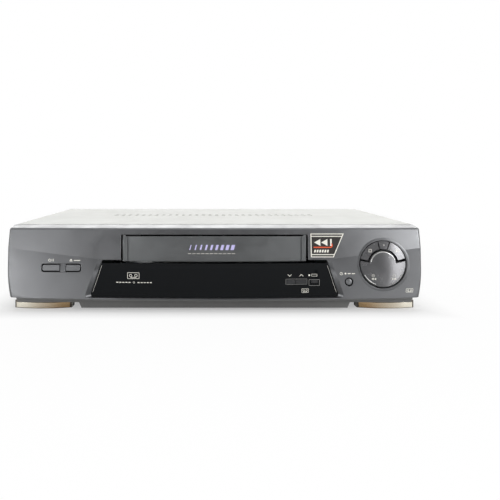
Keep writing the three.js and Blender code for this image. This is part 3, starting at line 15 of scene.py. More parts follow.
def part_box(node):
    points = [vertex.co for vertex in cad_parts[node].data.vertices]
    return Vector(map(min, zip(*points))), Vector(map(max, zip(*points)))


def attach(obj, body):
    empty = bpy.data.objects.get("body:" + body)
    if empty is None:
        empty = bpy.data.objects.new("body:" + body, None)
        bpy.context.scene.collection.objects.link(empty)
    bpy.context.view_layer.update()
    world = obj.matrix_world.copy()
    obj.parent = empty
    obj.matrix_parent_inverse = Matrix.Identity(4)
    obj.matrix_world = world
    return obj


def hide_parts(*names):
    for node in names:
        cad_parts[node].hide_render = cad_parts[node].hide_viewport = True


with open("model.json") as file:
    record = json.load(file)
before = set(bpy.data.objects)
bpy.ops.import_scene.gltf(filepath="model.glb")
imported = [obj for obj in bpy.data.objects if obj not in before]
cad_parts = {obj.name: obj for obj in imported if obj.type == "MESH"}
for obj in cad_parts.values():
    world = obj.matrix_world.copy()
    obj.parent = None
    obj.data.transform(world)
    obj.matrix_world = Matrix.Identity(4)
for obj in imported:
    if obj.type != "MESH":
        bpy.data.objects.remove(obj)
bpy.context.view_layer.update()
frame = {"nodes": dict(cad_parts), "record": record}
NODES = frame["nodes"]
BODY_OF = {node: body for body, nodes in frame["record"]["behaviour"]["bodies"].items() for node in nodes}
MM = 0.001


def box_mm(node):
    low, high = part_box(node)
    return Vector(low) / MM, Vector(high) / MM


# The front's own sizes, which repeat what the solids were drawn from
FRONT_LOW, FRONT_HIGH = box_mm("front_fascia")
HALF_WIDTH = FRONT_HIGH.x
WRAP = 19.5
EDGE_Y = FRONT_HIGH.y - WRAP
WALL = 2.6
BOTTOM = FRONT_LOW.z
TOP_FRONT = 87.2
TOP_BACK = FRONT_HIGH.z
TOP_ROUND = 3.0
CORNER_ROUND = 3.5
SHOULDER_ROUND = 1.4
PEAK = 48.0
SHOULDER_IN = 0.3
FOOT_IN = 1.2
TOP_BOW = 3.0
BOTTOM_BOW = 13.5
BULGE = 12.0
BELLY = 2.0
CREASE_X = 124.0
CREASE_INNER = 55.2
CREASE_OUTER = 66.7
LEAN = 0.1
END_LEAN = 0.25
UNDER_CREASE = 0.05
# Distances well clear of the front: just outside its skin, and far before or behind it
OUTSIDE = BULGE + 3
FAR = 60.0


def mix(a, b, share):
    return a + (b - a) * share


def quarter(steps):
    """Points of a quarter round of radius 1: how far each has come along it, and how far it has turned in."""
    turns = [math.pi / 2 * i / steps for i in range(steps + 1)]
    return [(math.sin(turn), 1 - math.cos(turn)) for turn in turns]


def crease_height(x):
    past = max(0.0, abs(x) - CREASE_X)
    return mix(CREASE_INNER, CREASE_OUTER, past / (HALF_WIDTH - CREASE_X))


def front_reach(x, z):
    """How far the skin stands in front of the plane of the top edge."""
    outward = (x / HALF_WIDTH) ** 2
    lean = mix(LEAN, END_LEAN, outward)
    crease = crease_height(x)

    def band(level):
        return lean * (TOP_FRONT - level) - TOP_BOW * outward

    if z >= crease:
        return band(z)
    peak = band(crease) + UNDER_CREASE * (crease - PEAK)
    if z >= PEAK:
        return mix(band(crease), peak, (crease - z) / (crease - PEAK))
    down = (PEAK - z) / (PEAK - BOTTOM)
    low = BULGE - BOTTOM_BOW * outward
    return mix(peak, low, down) + BELLY * 4 * down * (1 - down)


def side_inset(z):
    if z > PEAK:
        return SHOULDER_IN * ((z - PEAK) / (TOP_FRONT - PEAK)) ** 2
    return FOOT_IN * ((PEAK - z) / (PEAK - BOTTOM)) ** 2


# Meshes

def placed(name, data):
    thing = bpy.data.objects.new(name, data)
    bpy.context.scene.collection.objects.link(thing)
    return thing


def make_mesh(name, verts, faces):
    mesh = bpy.data.meshes.new(name)
    mesh.from_pydata([tuple(c * MM for c in v) for v in verts], [], faces)
    mesh.validate()
    return placed(name, mesh)


def loft(name, rings, closed=False):
    """A body through rings of equally many points, with flat ends or closed from last ring to first."""
    count, total = len(rings[0]), len(rings)
    faces = []
    for r in range(total if closed else total - 1):
        a, b = r * count, (r + 1) % total * count
        faces += [(a + i, a + (i + 1) % count, b + (i + 1) % count, b + i) for i in range(count)]
    if not closed:
        last = (total - 1) * count
        faces += [tuple(reversed(range(count))), tuple(range(last, last + count))]
    piece = make_mesh(name, [point for ring in rings for point in ring], faces)
    turn_outward(piece)
    return piece


def turn_outward(piece):
    edited = bmesh.new()
    edited.from_mesh(piece.data)
    bmesh.ops.recalc_face_normals(edited, faces=edited.faces)
    edited.to_mesh(piece.data)
    edited.free()


def applied(piece):
    """Replaces the piece's mesh with what its modifiers make of it."""
    graph = bpy.context.evaluated_depsgraph_get()
    mesh = bpy.data.meshes.new_from_object(piece.evaluated_get(graph))
    piece.modifiers.clear()
    piece.data = mesh
    return piece


def boolean(piece, tool, operation):
    modifier = piece.modifiers.new(operation.lower(), "BOOLEAN")
    modifier.object = tool
    modifier.operation = operation
    modifier.solver = "EXACT"
    applied(piece)
    bpy.data.objects.remove(tool)
    return piece


def cut(piece, tool):
    return boolean(piece, tool, "DIFFERENCE")


def join(piece, tool):
    return boolean(piece, tool, "UNION")


def smooth(mesh, angle=30.0):
    for face in mesh.polygons:
        face.use_smooth = True
    mesh.set_sharp_from_angle(angle=math.radians(angle))


# Steps in each part of the front's skin, how far its hollow reaches past the back, and its least rounding
FINE = Sizes(middle=20, side=16, corner=8, low=22, band=8, round=8, dial=144)
OVERRUN = 3
LEAST_ROUND = 0.3


def fascia_columns(inset):
    """Places across the front, each with how far its section is pulled back and dropped by the corner."""
    radius = CORNER_ROUND - inset
    straight = HALF_WIDTH - CORNER_ROUND
    right = [(CREASE_X * i / FINE.middle, 0.0) for i in range(FINE.middle + 1)]
    right += [(mix(CREASE_X, straight, i / FINE.side), 0.0) for i in range(1, FINE.side + 1)]
    right += [(straight + radius * along, inward) for along, inward in quarter(FINE.corner)[1:]]
    left = [(-x, inward) for x, inward in reversed(right[1:])]
    return [(x, radius * inward, SHOULDER_ROUND * inward) for x, inward in left + right]


def fascia_section(x, pull, drop, inset):
    side = HALF_WIDTH - inset
    radius = max(TOP_ROUND - inset, LEAST_ROUND)
    bottom = BOTTOM + inset + drop
    band_top = TOP_FRONT - inset - drop - radius
    crease = crease_height(x)
    levels = [mix(bottom, PEAK, i / FINE.low) for i in range(FINE.low)]
    levels += [PEAK, (PEAK + crease) / 2]
    levels += [mix(crease, band_top, i / FINE.band) for i in range(FINE.band)]
    outline = [(front_reach(x, z) - inset - pull, z) for z in levels]
    edge = front_reach(x, band_top) - inset - pull
    outline += [(edge - radius * inward, band_top + radius * along) for along, inward in quarter(FINE.round)]
    back = -WRAP - (OVERRUN if inset else 0)
    outline += [(back, TOP_BACK - inset - drop), (back, bottom)]
    return [(x * (side - side_inset(z)) / side, EDGE_Y - reach, z) for reach, z in outline]


def fascia_block(name, inset):
    return loft(name, [fascia_section(*column, inset) for column in fascia_columns(inset)])


def opening(name, rings, closed=False):
    """A body through outlines of places seen from the front, each given with a reach or a reach function."""
    placed = []
    for outline, reach in rings:
        placed.append([(x, EDGE_Y - (reach(x, z) if callable(reach) else reach), z) for x, z in outline])
    return loft(name, placed, closed)


def straight_cut(name, outline, back=-FAR):
    """A cutter with the same outline all the way, from a reach at its back to in front of the skin."""
    return opening(name, [(outline, back), (outline, OUTSIDE)])


def on_skin(deep):
    return lambda x, z: front_reach(x, z) - deep


def rounded(u0, u1, v0, v1, radius, steps=6, square=None):
    """A rectangle with rounded corners, but square ones on the side that square names by its place."""
    radius = min(radius, (u1 - u0) / 2, (v1 - v0) / 2)
    outline = []
    for u, v, start in ((u1, v0, -90), (u1, v1, 0), (u0, v1, 90), (u0, v0, 180)):
        if u == square:
            outline.append((u, v))
            continue
        middle_u = u - radius if u == u1 else u + radius
        middle_v = v - radius if v == v1 else v + radius
        for i in range(steps + 1):
            turn = math.radians(start + 90 * i / steps)
            outline.append((middle_u + radius * math.cos(turn), middle_v + radius * math.sin(turn)))
    return outline


def circle(x, z, radius, steps=96):
    turns = [2 * math.pi * i / steps for i in range(steps)]
    return [(x + radius * math.cos(t), z + radius * math.sin(t)) for t in turns]


# Sizes of the openings and of what stands in them

LENS = Sizes(
    top=51.0, bottom=16.0, top_half=HALF_WIDTH - 99.1, bottom_half=HALF_WIDTH - 87.2,
    reach=10.0, bow=6.3, fit=0.4, bevel=5.2, overhang=3.1, low_bevel=0.9, set=0.3,
    round=4.0, frame=2.2, frame_reach=-1.6, thick=2.6, sill=2.0, sill_reach=0.0, edge=0.25,
)
DOOR = Sizes(
    half_opening=98.3, opening_top=80.2, edge=0.5, opening_round=1.0,
    half=96.7, top=78.6, bottom=52.0, thick=2.5, top_bow=1.0, low_bow=3.5, round=0.7,
)
RIB = Sizes(x=92.3, wide=1.2, proud=0.5, back=2.0, margin=0.9)
HINGE = Sizes(
    back=3.4, z=81.5, arm=2.0, pin=1.2, long=5.4, wide=3.0, inset=0.3, root=1.5,
    strut_low=74.6, strut_high=79.9,
)
PILL = Sizes(
    left=37.2 - HALF_WIDTH, right=77.0 - HALF_WIDTH, divider=(55.9 - HALF_WIDTH, 61.5 - HALF_WIDTH),
    z=45.9, height=6.6, round=1.6, fit=0.95, loose=0.2, bevel=0.45,
    divider_inset=1.2, divider_half=6, gap=0.5, inset=0.6,
)
KEYS = (LENS.top_half - 43.8, LENS.top_half - 22.6, 29.8, 34.2)
RECORD = Sizes(
    rim=(LENS.top_half - 20.4, LENS.top_half - 8.7, 27.6, 34.6), proud=1.0, fit=0.4,
    cap=(LENS.top_half - 17.5, LENS.top_half - 10.9, 30.5, 33.4),
)
TIMER = Sizes(x=HALF_WIDTH - 77.4, z=31.7, radius=3.3, recess=4.5, edge=0.4, sunk=0.6, dome=0.9)
DIAL = Sizes(
    x=HALF_WIDTH - 40.6, z=49.2, well=24.9, rim=26.9, deep=9.0, hole_edge=0.3, ring=(16.2, 24.3),
    ring_reach=2.2, disc=23.9, disc_edge=0.6, crown=14.2, disc_reach=2.4, rise=1.6,
)
# Raised collar round the dial: radius, and depth under the skin, which is negative above it
COLLAR = ((28.0, 0.4), (27.7, 0.0), (27.2, -0.2), (26.6, -0.32), (25.6, -0.36), (24.0, -0.36), (24.0, 0.4))
# Bevel at the disc's upper edge: reach at its foot and at its top, and how far it leans inward
CROWN = Sizes(foot=1.9, top=3.75, wide=1.5, angles=(9, 171))
VENTS = Sizes(front=2.0, back=22.0, count=30, pitch=8.6, wide=3.4)


def lens_reach(x):
    return LENS.reach - LENS.bow * (x / LENS.bottom_half) ** 2


def lens_skin(x, z):
    return lens_reach(x)


def lens_side(z):
    """How far the window's slanted sides are from its middle."""
    return mix(LENS.bottom_half, LENS.top_half, (z - LENS.bottom) / (LENS.top - LENS.bottom))


def lens_outline(margin, top_z, bottom_margin, steps=10, along=20, upward=12):
    """Outline of the window, grown by margins, with as many points whatever its size."""
    low = LENS.bottom - bottom_margin
    radius = LENS.round

    def half_at(z):
        return lens_side(z) + margin

    outline = []
    for side in (1, -1):
        corner = []
        for up, inward in quarter(steps):
            z = low + radius * (1 - up)
            corner.append((side * (half_at(z) - radius * inward), z))
        bottom = [(mix(corner[-1][0], 0, i / along), low) for i in range(1, along)]
        levels = [mix(top_z, corner[0][1], i / upward) for i in range(upward)]
        run = [(side * half_at(z), z) for z in levels] + corner + bottom
        outline += run if side > 0 else list(reversed(run))
    return outline


def lip(outline_of, radius, steps=5):
    """Rings of a rounded edge, from the wall of an opening out to the skin."""
    return [(outline_of(radius * inward), on_skin(radius * (1 - along))) for along, inward in quarter(steps)]


def cutter(name, outline_of, radius, behind):
    """A cutter with straight walls and a rounded edge on the skin."""
    rings = lip(outline_of, radius)
    return opening(name, [(rings[0][0], -behind), *rings, (rings[-1][0], OUTSIDE)])


def window_cutter():
    top = LENS.top + LENS.overhang
    inner = lens_outline(LENS.fit, top, LENS.fit)

    def neck(x, z):
        return min(front_reach(x, z) - LENS.low_bevel, lens_reach(x) - LENS.set)

    def sloped(share):
        width = mix(LENS.fit, LENS.bevel, share)
        return lens_outline(width, top, mix(LENS.fit, LENS.low_bevel, share))

    def reach_at(share, deeper=0.0):
        return lambda x, z: mix(neck(x, z), front_reach(x, z), share) - deeper

    rings = [(inner, -2 * WALL), (inner, neck)]
    rings += [(sloped(0.9), reach_at(0.9)), (sloped(0.96), reach_at(0.985, 0.05))]
    rings += [(sloped(1.03), front_reach), (sloped(1.03), OUTSIDE)]
    return opening("window", rings)


def grown_hole(left, right, low, high, radius, steps=6):
    """An opening's outline as a function of how far it is grown."""
    return lambda grow: rounded(left - grow, right + grow, low - grow, high + grow, radius + grow, steps)


def round_hole(x, z, radius, steps):
    """The same for a round opening."""
    return lambda grow: circle(x, z, radius + grow, steps)


def door_hole(grow):
    """The flap's opening, whose foot lies behind the window."""
    half = DOOR.half_opening + grow
    return rounded(-half, half, LENS.top - 3, DOOR.opening_top + grow, DOOR.opening_round + grow)


def dial_well():
    """The wall behind the front, in which the disc and its three buttons stand."""
    x, z, floor = DIAL.x, DIAL.z, -DIAL.deep
    wall = opening("well_wall", [(circle(x, z, DIAL.rim), floor), (circle(x, z, DIAL.rim), -0.5)])
    hole = opening("well_hole", [(circle(x, z, DIAL.well), floor + 1), (circle(x, z, DIAL.well), 3)])
    return cut(wall, hole)


def pill_divider():
    """The web between the power and eject buttons."""
    left, right = PILL.divider
    half = PILL.divider_half
    outline = rounded(left, right, PILL.z - half, PILL.z + half, 0.3)
    divider = opening("divider", [(outline, -WALL), (outline, BULGE)])
    return boolean(divider, fascia_block("lower_skin", PILL.divider_inset), "INTERSECT")


def build_fascia():
    skin = fascia_block("skin", 0.0)
    body = fascia_block("fascia_shell", 0.0)
    cut(body, fascia_block("hollow", WALL))
    top = LENS.top + LENS.overhang
    frame_outline = lens_outline(LENS.bevel + LENS.frame, top, LENS.low_bevel)
    window_frame = straight_cut("window_frame", frame_outline, LENS.frame_reach)
    boolean(window_frame, fascia_block("under_skin", 0.05), "INTERSECT")
    join(body, window_frame)
    rings = [(circle(DIAL.x, DIAL.z, radius, FINE.dial), on_skin(deep)) for radius, deep in COLLAR]
    join(body, opening("collar", rings, closed=True))

    fit = PILL.fit
    high = PILL.height / 2 + fit
    left, right, z = PILL.left - fit, PILL.right + fit, PILL.z
    pill_hole = grown_hole(left, right, z - high, z + high, PILL.round + fit, 12)
    dial_hole = round_hole(DIAL.x - 0.5, DIAL.z - 0.1, DIAL.well, FINE.dial)
    timer_hole = round_hole(TIMER.x, TIMER.z, TIMER.recess, 64)
    cut(body, window_cutter())
    for name, hole, edge in (
        ("door_hole", door_hole, DOOR.edge), ("pill_hole", pill_hole, PILL.bevel),
        ("dial_hole", dial_hole, DIAL.hole_edge), ("timer_hole", timer_hole, TIMER.edge),
    ):
        cut(body, cutter(name, hole, edge, 2 * WALL))
    join(body, pill_divider())
    join(body, dial_well())
    smooth(body.data, 25)
    follow_normals(body, skin)
    bpy.data.objects.remove(skin)
    return body


def prism(name, outline_of, back, face, radius=0.35, steps=4):
    """A block with a rounded front edge, whose face stands at a reach or follows a reach function."""
    def lifted(drop):
        return (lambda x, z: face(x, z) - drop) if callable(face) else face - drop

    edge = [(outline_of(radius * inward), lifted(radius * (1 - along))) for along, inward in quarter(steps)]
    piece = opening(name, [(outline_of(0), back), *edge])
    smooth(piece.data, 50)
    steady_normals(piece)
    return piece


def steady_normals(piece):
    """Lets the large faces decide the shading, so that flat faces stay flat up to their rounded edges."""
    modifier = piece.modifiers.new("steady", "WEIGHTED_NORMAL")
    modifier.keep_sharp = True
    modifier.weight = 80


def sector(inner, outer, start, end, steps=28):
    """Outline of a ring segment about the dial's middle, in degrees, drawn in by an inset."""
    def outline(inset):
        points = []
        for radius, inward in ((outer - inset, False), (inner + inset, True)):
            trim = math.degrees(inset / radius)
            first, last = (end - trim, start + trim) if inward else (start + trim, end - trim)
            for i in range(steps + 1):
                turn = math.radians(mix(first, last, i / steps))
                points.append((DIAL.x + radius * math.cos(turn), DIAL.z + radius * math.sin(turn)))
        return points

    return outline


def build_window(columns=96):
    """The bowed black plate, its sill under the door, and the raised rim round the record key."""
    rings = []
    low, high, sill = LENS.bottom, LENS.top, LENS.top - LENS.sill
    for i in range(columns + 1):
        x = mix(-LENS.bottom_half, LENS.bottom_half, i / columns)
        front, back = lens_reach(x), lens_reach(x) - LENS.thick
        rear = min(LENS.sill_reach, back - 0.3)
        outline = [(front, low), (front, high), (rear, high), (rear, sill), (back, sill), (back, low)]
        rings.append([(x, EDGE_Y - reach, z) for reach, z in outline])
    plate = loft("window_plate", rings)
    boolean(plate, straight_cut("window_shape", lens_outline(0, LENS.top + 3, 0)), "INTERSECT")
    left, right, low, high = RECORD.rim
    middle = lens_reach((left + right) / 2)

    def rim_outline(inset):
        return rounded(left + inset, right - inset, low + inset, high - inset, 1.2 - inset / 2)

    rim = prism("rim", rim_outline, middle - LENS.thick / 2, middle + RECORD.proud, 0.25)
    join(plate, applied(rim))
    fit = RECORD.fit
    cap_left, cap_right, cap_low, cap_high = RECORD.cap
    key_way = grown_hole(cap_left, cap_right, cap_low, cap_high, 0.1)(fit)
    cut(plate, straight_cut("key_way", key_way))
    notch = rounded(cap_left - fit, cap_right + fit, cap_low, high + 3, 0.2)
    cut(plate, straight_cut("notch", notch, middle))
    keys_way = grown_hole(*KEYS, 0.2)(fit)
    cut(plate, straight_cut("keys_way", keys_way))
    smooth(plate.data, 30)
    bevel = add_bevel(plate, LENS.edge, 60)
    bevel.harden_normals = True
    return plate


def add_bevel(piece, width, angle):
    bevel = piece.modifiers.new("bevel", "BEVEL")
    bevel.width = width * MM
    bevel.segments = 2
    bevel.limit_method = "ANGLE"
    bevel.angle_limit = math.radians(angle)
    return bevel


# Printed marks: flat shapes a hair above the surface they are on

def bar(x0, x1, z0, z1, slant=0.0):
    return [(x0, z0), (x1, z0), (x1 + slant, z1), (x0 + slant, z1)]


def bars(count, first, pitch, wide, z0, z1, slant=0.0, grow=0.0):
    """A row of bars, each wider than the one before by grow."""
    starts = [first + pitch * i for i in range(count)]
    return [bar(start, start + wide + grow * i, z0, z1, slant) for i, start in enumerate(starts)]


def dot(x, z, radius):
    return arc_band(x, z, radius, radius, 0, 360, 20)


def band(outer, inner):
    """Quads between two outlines of equally many points."""
    count = len(outer)
    return [[outer[i], outer[(i + 1) % count], inner[(i + 1) % count], inner[i]] for i in range(count)]


def arc_band(x, z, radius, line, start, end, steps=24):
    shapes = []
    for i in range(steps):
        a, b = (math.radians(mix(start, end, (i + k) / steps)) for k in (0, 1))
        shapes.append([(x + r * math.cos(t), z + r * math.sin(t))
                       for r, t in ((radius, a), (radius, b), (radius - line, b), (radius - line, a))])
    return shapes


def frame_band(x0, x1, z0, z1, radius, line):
    inner = rounded(x0 + line, x1 - line, z0 + line, z1 - line, max(radius - line, 0.05))
    return band(rounded(x0, x1, z0, z1, radius), inner)


def cut_up(shape, longest=4.0):
    """Splits a four-sided shape along its length, so that it can follow a curve."""
    if len(shape) != 4:
        return [shape]
    a, b, c, d = shape
    parts = max(1, math.ceil(max(math.dist(a, b), math.dist(d, c)) / longest))

    def along(p, q, share):
        return (mix(p[0], q[0], share), mix(p[1], q[1], share))

    pieces = []
    for i in range(parts):
        start, end = i / parts, (i + 1) / parts
        pieces.append([along(a, b, start), along(a, b, end), along(d, c, end), along(d, c, start)])
    return pieces


def printed(name, node, shapes, reach, material, lift=0.03):
    """Lays flat shapes on a skin given by its reach, facing the front, and lets them ride with a node."""
    verts, faces = [], []
    for shape in shapes:
        for piece in cut_up(shape):
            faces.append(tuple(range(len(verts), len(verts) + len(piece))))
            verts += [(x, EDGE_Y - reach(x, z) - lift, z) for x, z in piece]
    marks = make_mesh(name, verts, faces)
    flipped = [face for face in marks.data.polygons if face.normal.y > 0]
    for face in flipped:
        face.flip()
    finish_with(marks, material, "white")
    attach(marks, BODY_OF[node])


def triangle(x, z, wide, high):
    """A triangle that points to +X where wide is positive and to -X where it is negative."""
    return [(x, z - high / 2), (x + wide, z), (x, z + high / 2)]


def power_sign(x, z, radius, line):
    stroke = bar(x - line / 2, x + line / 2, z + 0.1, z + radius + 0.25)
    return [*arc_band(x, z, radius, line, 125, 415, 30), stroke]


def eject_sign(x, z, half):
    arrow = [(x - half, z - 0.35), (x + half, z - 0.35), (x, z + half)]
    return [arrow, bar(x - half, x + half, z - 1.3, z - 0.75)]


def chevron(x, z, up, half=2.3, rise=1.8, line=0.75):
    foot, tip, under = z - up * rise / 2, z + up * (rise / 2 + line / 2), z + up * (rise / 2 - line / 2)
    return [[(x - half, foot), (x - half + line, foot), (x, under), (x, tip)],
            [(x, tip), (x, under), (x + half - line, foot), (x + half, foot)]]


def clock_sign(x, z, radius, line):
    return [*arc_band(x, z, radius, line, 0, 360, 28), bar(x - 0.13, x + 0.13, z - 0.1, z + 0.95),
            bar(x - 0.1, x + 0.75, z - 0.13, z + 0.13)]


def cassette_sign(x, z, wide, high, line=0.32):
    """A generic cassette: its outline, two reels and the tape between them."""
    shapes = frame_band(x - wide / 2, x + wide / 2, z - high / 2, z + high / 2, 0.7, line)
    for side in (-1, 1):
        shapes += arc_band(x + side * wide * 0.22, z, high * 0.24, line, 0, 360, 20)
    return [*shapes, bar(x - wide * 0.22, x + wide * 0.22, z - high * 0.24 - line, z - high * 0.24)]


def tree_of(mesh, world=Matrix()):
    places = [world @ v.co for v in mesh.vertices]
    return BVHTree.FromPolygons(places, [tuple(p.vertices) for p in mesh.polygons])


def skin_of(node):
    """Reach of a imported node's front, found by looking at it straight from ahead."""
    piece = NODES[node]
    tree = tree_of(piece.data, piece.matrix_world)

    def reach(x, z):
        place = tree.ray_cast(Vector((x, EDGE_Y - FAR, z)) * MM, Vector((0, 1, 0)))[0]
        return EDGE_Y - place.y / MM

    return reach


def from_dial(x, z):
    return math.dist((x, z), (DIAL.x, DIAL.z))


def crown_reach(share):
    """Reach of the disc's upper edge, from its foot at 0 to its top at 1."""
    return mix(CROWN.foot, CROWN.top, 1 - (1 - share) ** 2)


def crown_skin(x, z):
    return crown_reach((DIAL.crown - from_dial(x, z)) / CROWN.wide)


def disc_reach(radius):
    return DIAL.disc_reach + DIAL.rise * (1 - (radius / DIAL.disc) ** 2)


def disc_skin(x, z):
    return disc_reach(from_dial(x, z))


def ring_skin(x, z):
    return DIAL.ring_reach


BADGE = Sizes(
    top=81.4, bottom=56.8, left=101.0, right=(136.2, 124.8), thick=0.2, border=1.0,
    stripe=1.5, spacing=0.9, edge=0.06, sign_z=72.2,
)


def badge_outline(inset, top=None, bottom=None):
    """The sticker's outline, whose right side slants, or the part of it between two heights."""
    top = BADGE.top - inset if top is None else top
    bottom = BADGE.bottom + inset if bottom is None else bottom
    left = BADGE.left + inset
    far, near = BADGE.right

    def right_at(z):
        return mix(near, far, (z - BADGE.bottom) / (BADGE.top - BADGE.bottom)) - inset * 1.1

    return [(left, bottom), (right_at(bottom), bottom), (right_at(top), top), (left, top)]


def build_badge():
    """The sticker beside the flap: dark fields, a rewind sign, a red stroke and bars for its words."""
    thick, edge = BADGE.thick, BADGE.edge
    plate = opening("badge", [
        (badge_outline(0), on_skin(0.25)), (badge_outline(0), on_skin(edge - thick)),
        (badge_outline(edge), on_skin(-thick)),
    ])
    finish_with(plate, "print", "white")
    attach(plate, BODY_OF["front_fascia"])
    lift = thick + 0.1
    above = lift + edge
    border, top, bottom = BADGE.border, BADGE.top, BADGE.bottom
    near = BADGE.spacing
    far = near + BADGE.stripe
    dark = [
        badge_outline(border, top - near, top - far), badge_outline(border, bottom + far, bottom + near),
        badge_outline(border, top - far - 1, bottom + far + 1),
    ]
    skin = on_skin(0)
    printed("badge_field", "front_fascia", dark, skin, "ink", lift)
    z = BADGE.sign_z
    marks = [triangle(x, z, -6.6, 7.2) for x in (111.2, 118.6)]
    marks.append(bar(121.4, 123.2, z - 3.6, z + 3.6))
    marks += bars(6, 104.2, 2.7, 1.7, 61.9, 64.6, 0.6)
    printed("badge_marks", "front_fascia", marks, skin, "print", above)
    swoosh = [bar(104.0, 121.5, 66.6, 67.7), *arc_band(121.5, 69.2, 2.6, 1.1, -90, 60, 16)]
    printed("badge_swoosh", "front_fascia", swoosh, skin, "orange", above)


def build_fascia_marks():
    """Signs over the power and eject buttons and the timer button, and a cassette at the lower right."""
    over_pill, over_timer, line = 53.9, 40.2, 0.42
    power = [*power_sign(-172.6, over_pill, 1.5, line), bar(-170.3, -169.9, 52.6, 55.3)]
    power.append(bar(-168.9, -168.4, 52.6, 55.3))
    eject = [*eject_sign(-150.2, over_pill, 1.5), bar(-147.2, -140.6, 53.2, 54.0)]
    timer = [*clock_sign(132.2, over_timer, 1.5, 0.4), *dot(136.6, over_timer, 0.9)]
    timer += [bar(138.9, 142.0, 39.8, 40.6), bar(143.2, 146.6, 39.8, 40.6)]
    cassette = cassette_sign(204.6, 21.9, 7.8, 4.2, line)
    printed("fascia_marks", "front_fascia", power + eject + timer + cassette, front_reach, "print", 0.05)


def build_dial_marks():
    x, z = DIAL.x, DIAL.z
    arrows = ((-10.1, -2.4), (-7.5, -2.4), (9.0, 2.4), (11.6, 2.4))
    search = [triangle(x + across, z - 15.1, wide, 2.3) for across, wide in arrows]
    printed("disc_arrows", "shuttle_disc", search, disc_skin, "print", 0.05)
    rings = []
    for middle in (x - 10.6, x + 11.4):
        rings += arc_band(middle, z - 11.6, 1.6, 0.4, 0, 360, 22)
        rings.append(bar(middle - 0.8, middle + 0.8, z - 11.8, z - 11.4))
    printed("disc_marks", "shuttle_disc", rings, disc_skin, "print_dim", 0.05)
    stop = frame_band(x - 15.3, x - 11.9, z + 12.7, z + 16.1, 0.2, 0.75)
    printed("stop_mark", "stop_button", stop, ring_skin, "print_dim")
    play = band(triangle(x + 13.3, z + 14.4, 4.0, 4.0), triangle(x + 14.0, z + 14.4, 2.3, 2.1))
    printed("play_mark", "play_button", play, ring_skin, "print")
    pause = [bar(x + 0.1, x + 0.5, z + 19.2, z + 21.2), bar(x + 1.0, x + 1.4, z + 19.2, z + 21.2)]
    printed("pause_mark", "pause_button", pause, ring_skin, "print_dim")


def build_window_marks():
    """Signs over the small keys, cassettes and dashes for words, and thin lines round the keys."""
    right, over_keys = LENS.top_half, 38.6
    marks = [*chevron(right - 40.2, over_keys, -1), *chevron(right - 28.0, over_keys, 1)]
    marks += dot(right - 19.6, over_keys, 0.95)
    marks += frame_band(right - 17.4, right - 11.4, 37.4, 39.8, 0.5, 0.28)
    marks += cassette_sign(-84.6, 38.3, 12.6, 6.6, 0.42)
    dashes = bars(12, -102.5, 3.2, 2.2, 30.8, 31.6)
    marks += [*dashes[:5], *dashes[7:], *arc_band(-83.9, 31.2, 1.0, 0.35, 0, 360, 20)]
    marks += cassette_sign(right - 24.0, 22.6, 7.4, 4.2, 0.3)
    printed("window_marks", "display_window", marks, lens_skin, "print")
    left, right, low, high = KEYS
    line = 0.4
    out = RECORD.fit + line
    around = frame_band(left - out, right + out, low - out, high + out, 0.9, line)
    printed("key_frame", "display_window", around, lens_skin, "print_faint")
    left, right, low, high = RECORD.rim
    proud = lens_reach((left + right) / 2) + RECORD.proud
    around = frame_band(left + 0.1, right - 0.1, low + 0.1, high - 0.1, 1.1, 0.5)
    printed("record_frame", "display_window", around, lambda x, z: proud, "print_faint")
    edge = []
    for side in (-1, 1):
        corners = ((-1.6, 20.5), (-1.2, 20.5), (-1.2, 48.5), (-1.6, 48.5))
        edge.append([(side * (lens_side(z) + inward), z) for inward, z in corners])
    printed("window_lines", "display_window", edge, lens_skin, "print_dim")


def build_door_marks():
    """Slanted speed bars over a dashed line in place of lettering, and a painted highlight line along each
    rib.
    """
    speed = bars(9, -26.5, 5.4, 1.0, 64.3, 69.6, 1.5, 0.32)
    printed("door_speed", "cassette_door", speed, door_reach, "lilac")
    # Painted highlight: a light grey line along each rib's crest
    half = 0.45
    low, high = DOOR.bottom + 2.4, DOOR.top - 2.0
    pieces = []
    for side in (-1, 1):
        line = bar(side * RIB.x - half, side * RIB.x + half, low, high)
        pieces += cut_up(line[1:] + line[:1])
    printed("rib_highlights", "cassette_door", pieces, rib_reach, "edge", 0.06)
    dashes = bars(11, -28.0, 4.6, 3.3, 60.2, 61.0, 0.3)
    printed("door_dashes", "cassette_door", dashes, door_reach, "print_dim")


# How the front's shading is evened: the bow of both halves, the slope towards the ends of the lower half, and
# from which normal on, and over how much, it comes in
EVEN = Sizes(bow=9.0, down=0.1, frontal=-0.9, fade=0.05)

# Angles about the dial's middle, in degrees from the right
RIDGES = ((209, 250), (290, 331))
RIDGE = Sizes(ring=(21.9, 22.8), reach=3.3, edge=0.4)
# A painted highlight on the bevel that the buttons stand over, laid in bands of bright metal from its outside
# inwards
CROWN_HIGHLIGHT = Sizes(bands=5, wide=0.27, inset=0.1, angles=(25, 168))
RING_BUTTONS = {"stop_button": (104, 166), "pause_button": (75, 101), "play_button": (15, 72)}


def half_pill(left, right, rounded_end):
    """Outline of a cap whose corners are round at one end and square at the other, drawn in by an inset."""
    def outline(inset):
        inset += PILL.loose
        first, last, high = left + inset, right - inset, PILL.height / 2 - inset
        square = last if rounded_end == "left" else first
        low, top = PILL.z - high, PILL.z + high
        return rounded(first, last, low, top, max(PILL.round - inset, 0.1), 8, square)

    return outline


def door_reach(x, z):
    """The flap is straight from foot to top, and bows less at its top than at its foot."""
    out = (x / DOOR.half) ** 2
    top = front_reach(0, DOOR.top) - DOOR.top_bow * out
    low = LEAN * (TOP_FRONT - DOOR.bottom) - DOOR.low_bow * out
    return mix(low, top, (z - DOOR.bottom) / (DOOR.top - DOOR.bottom))


def rib_reach(x, z):
    return door_reach(x, z) + RIB.proud


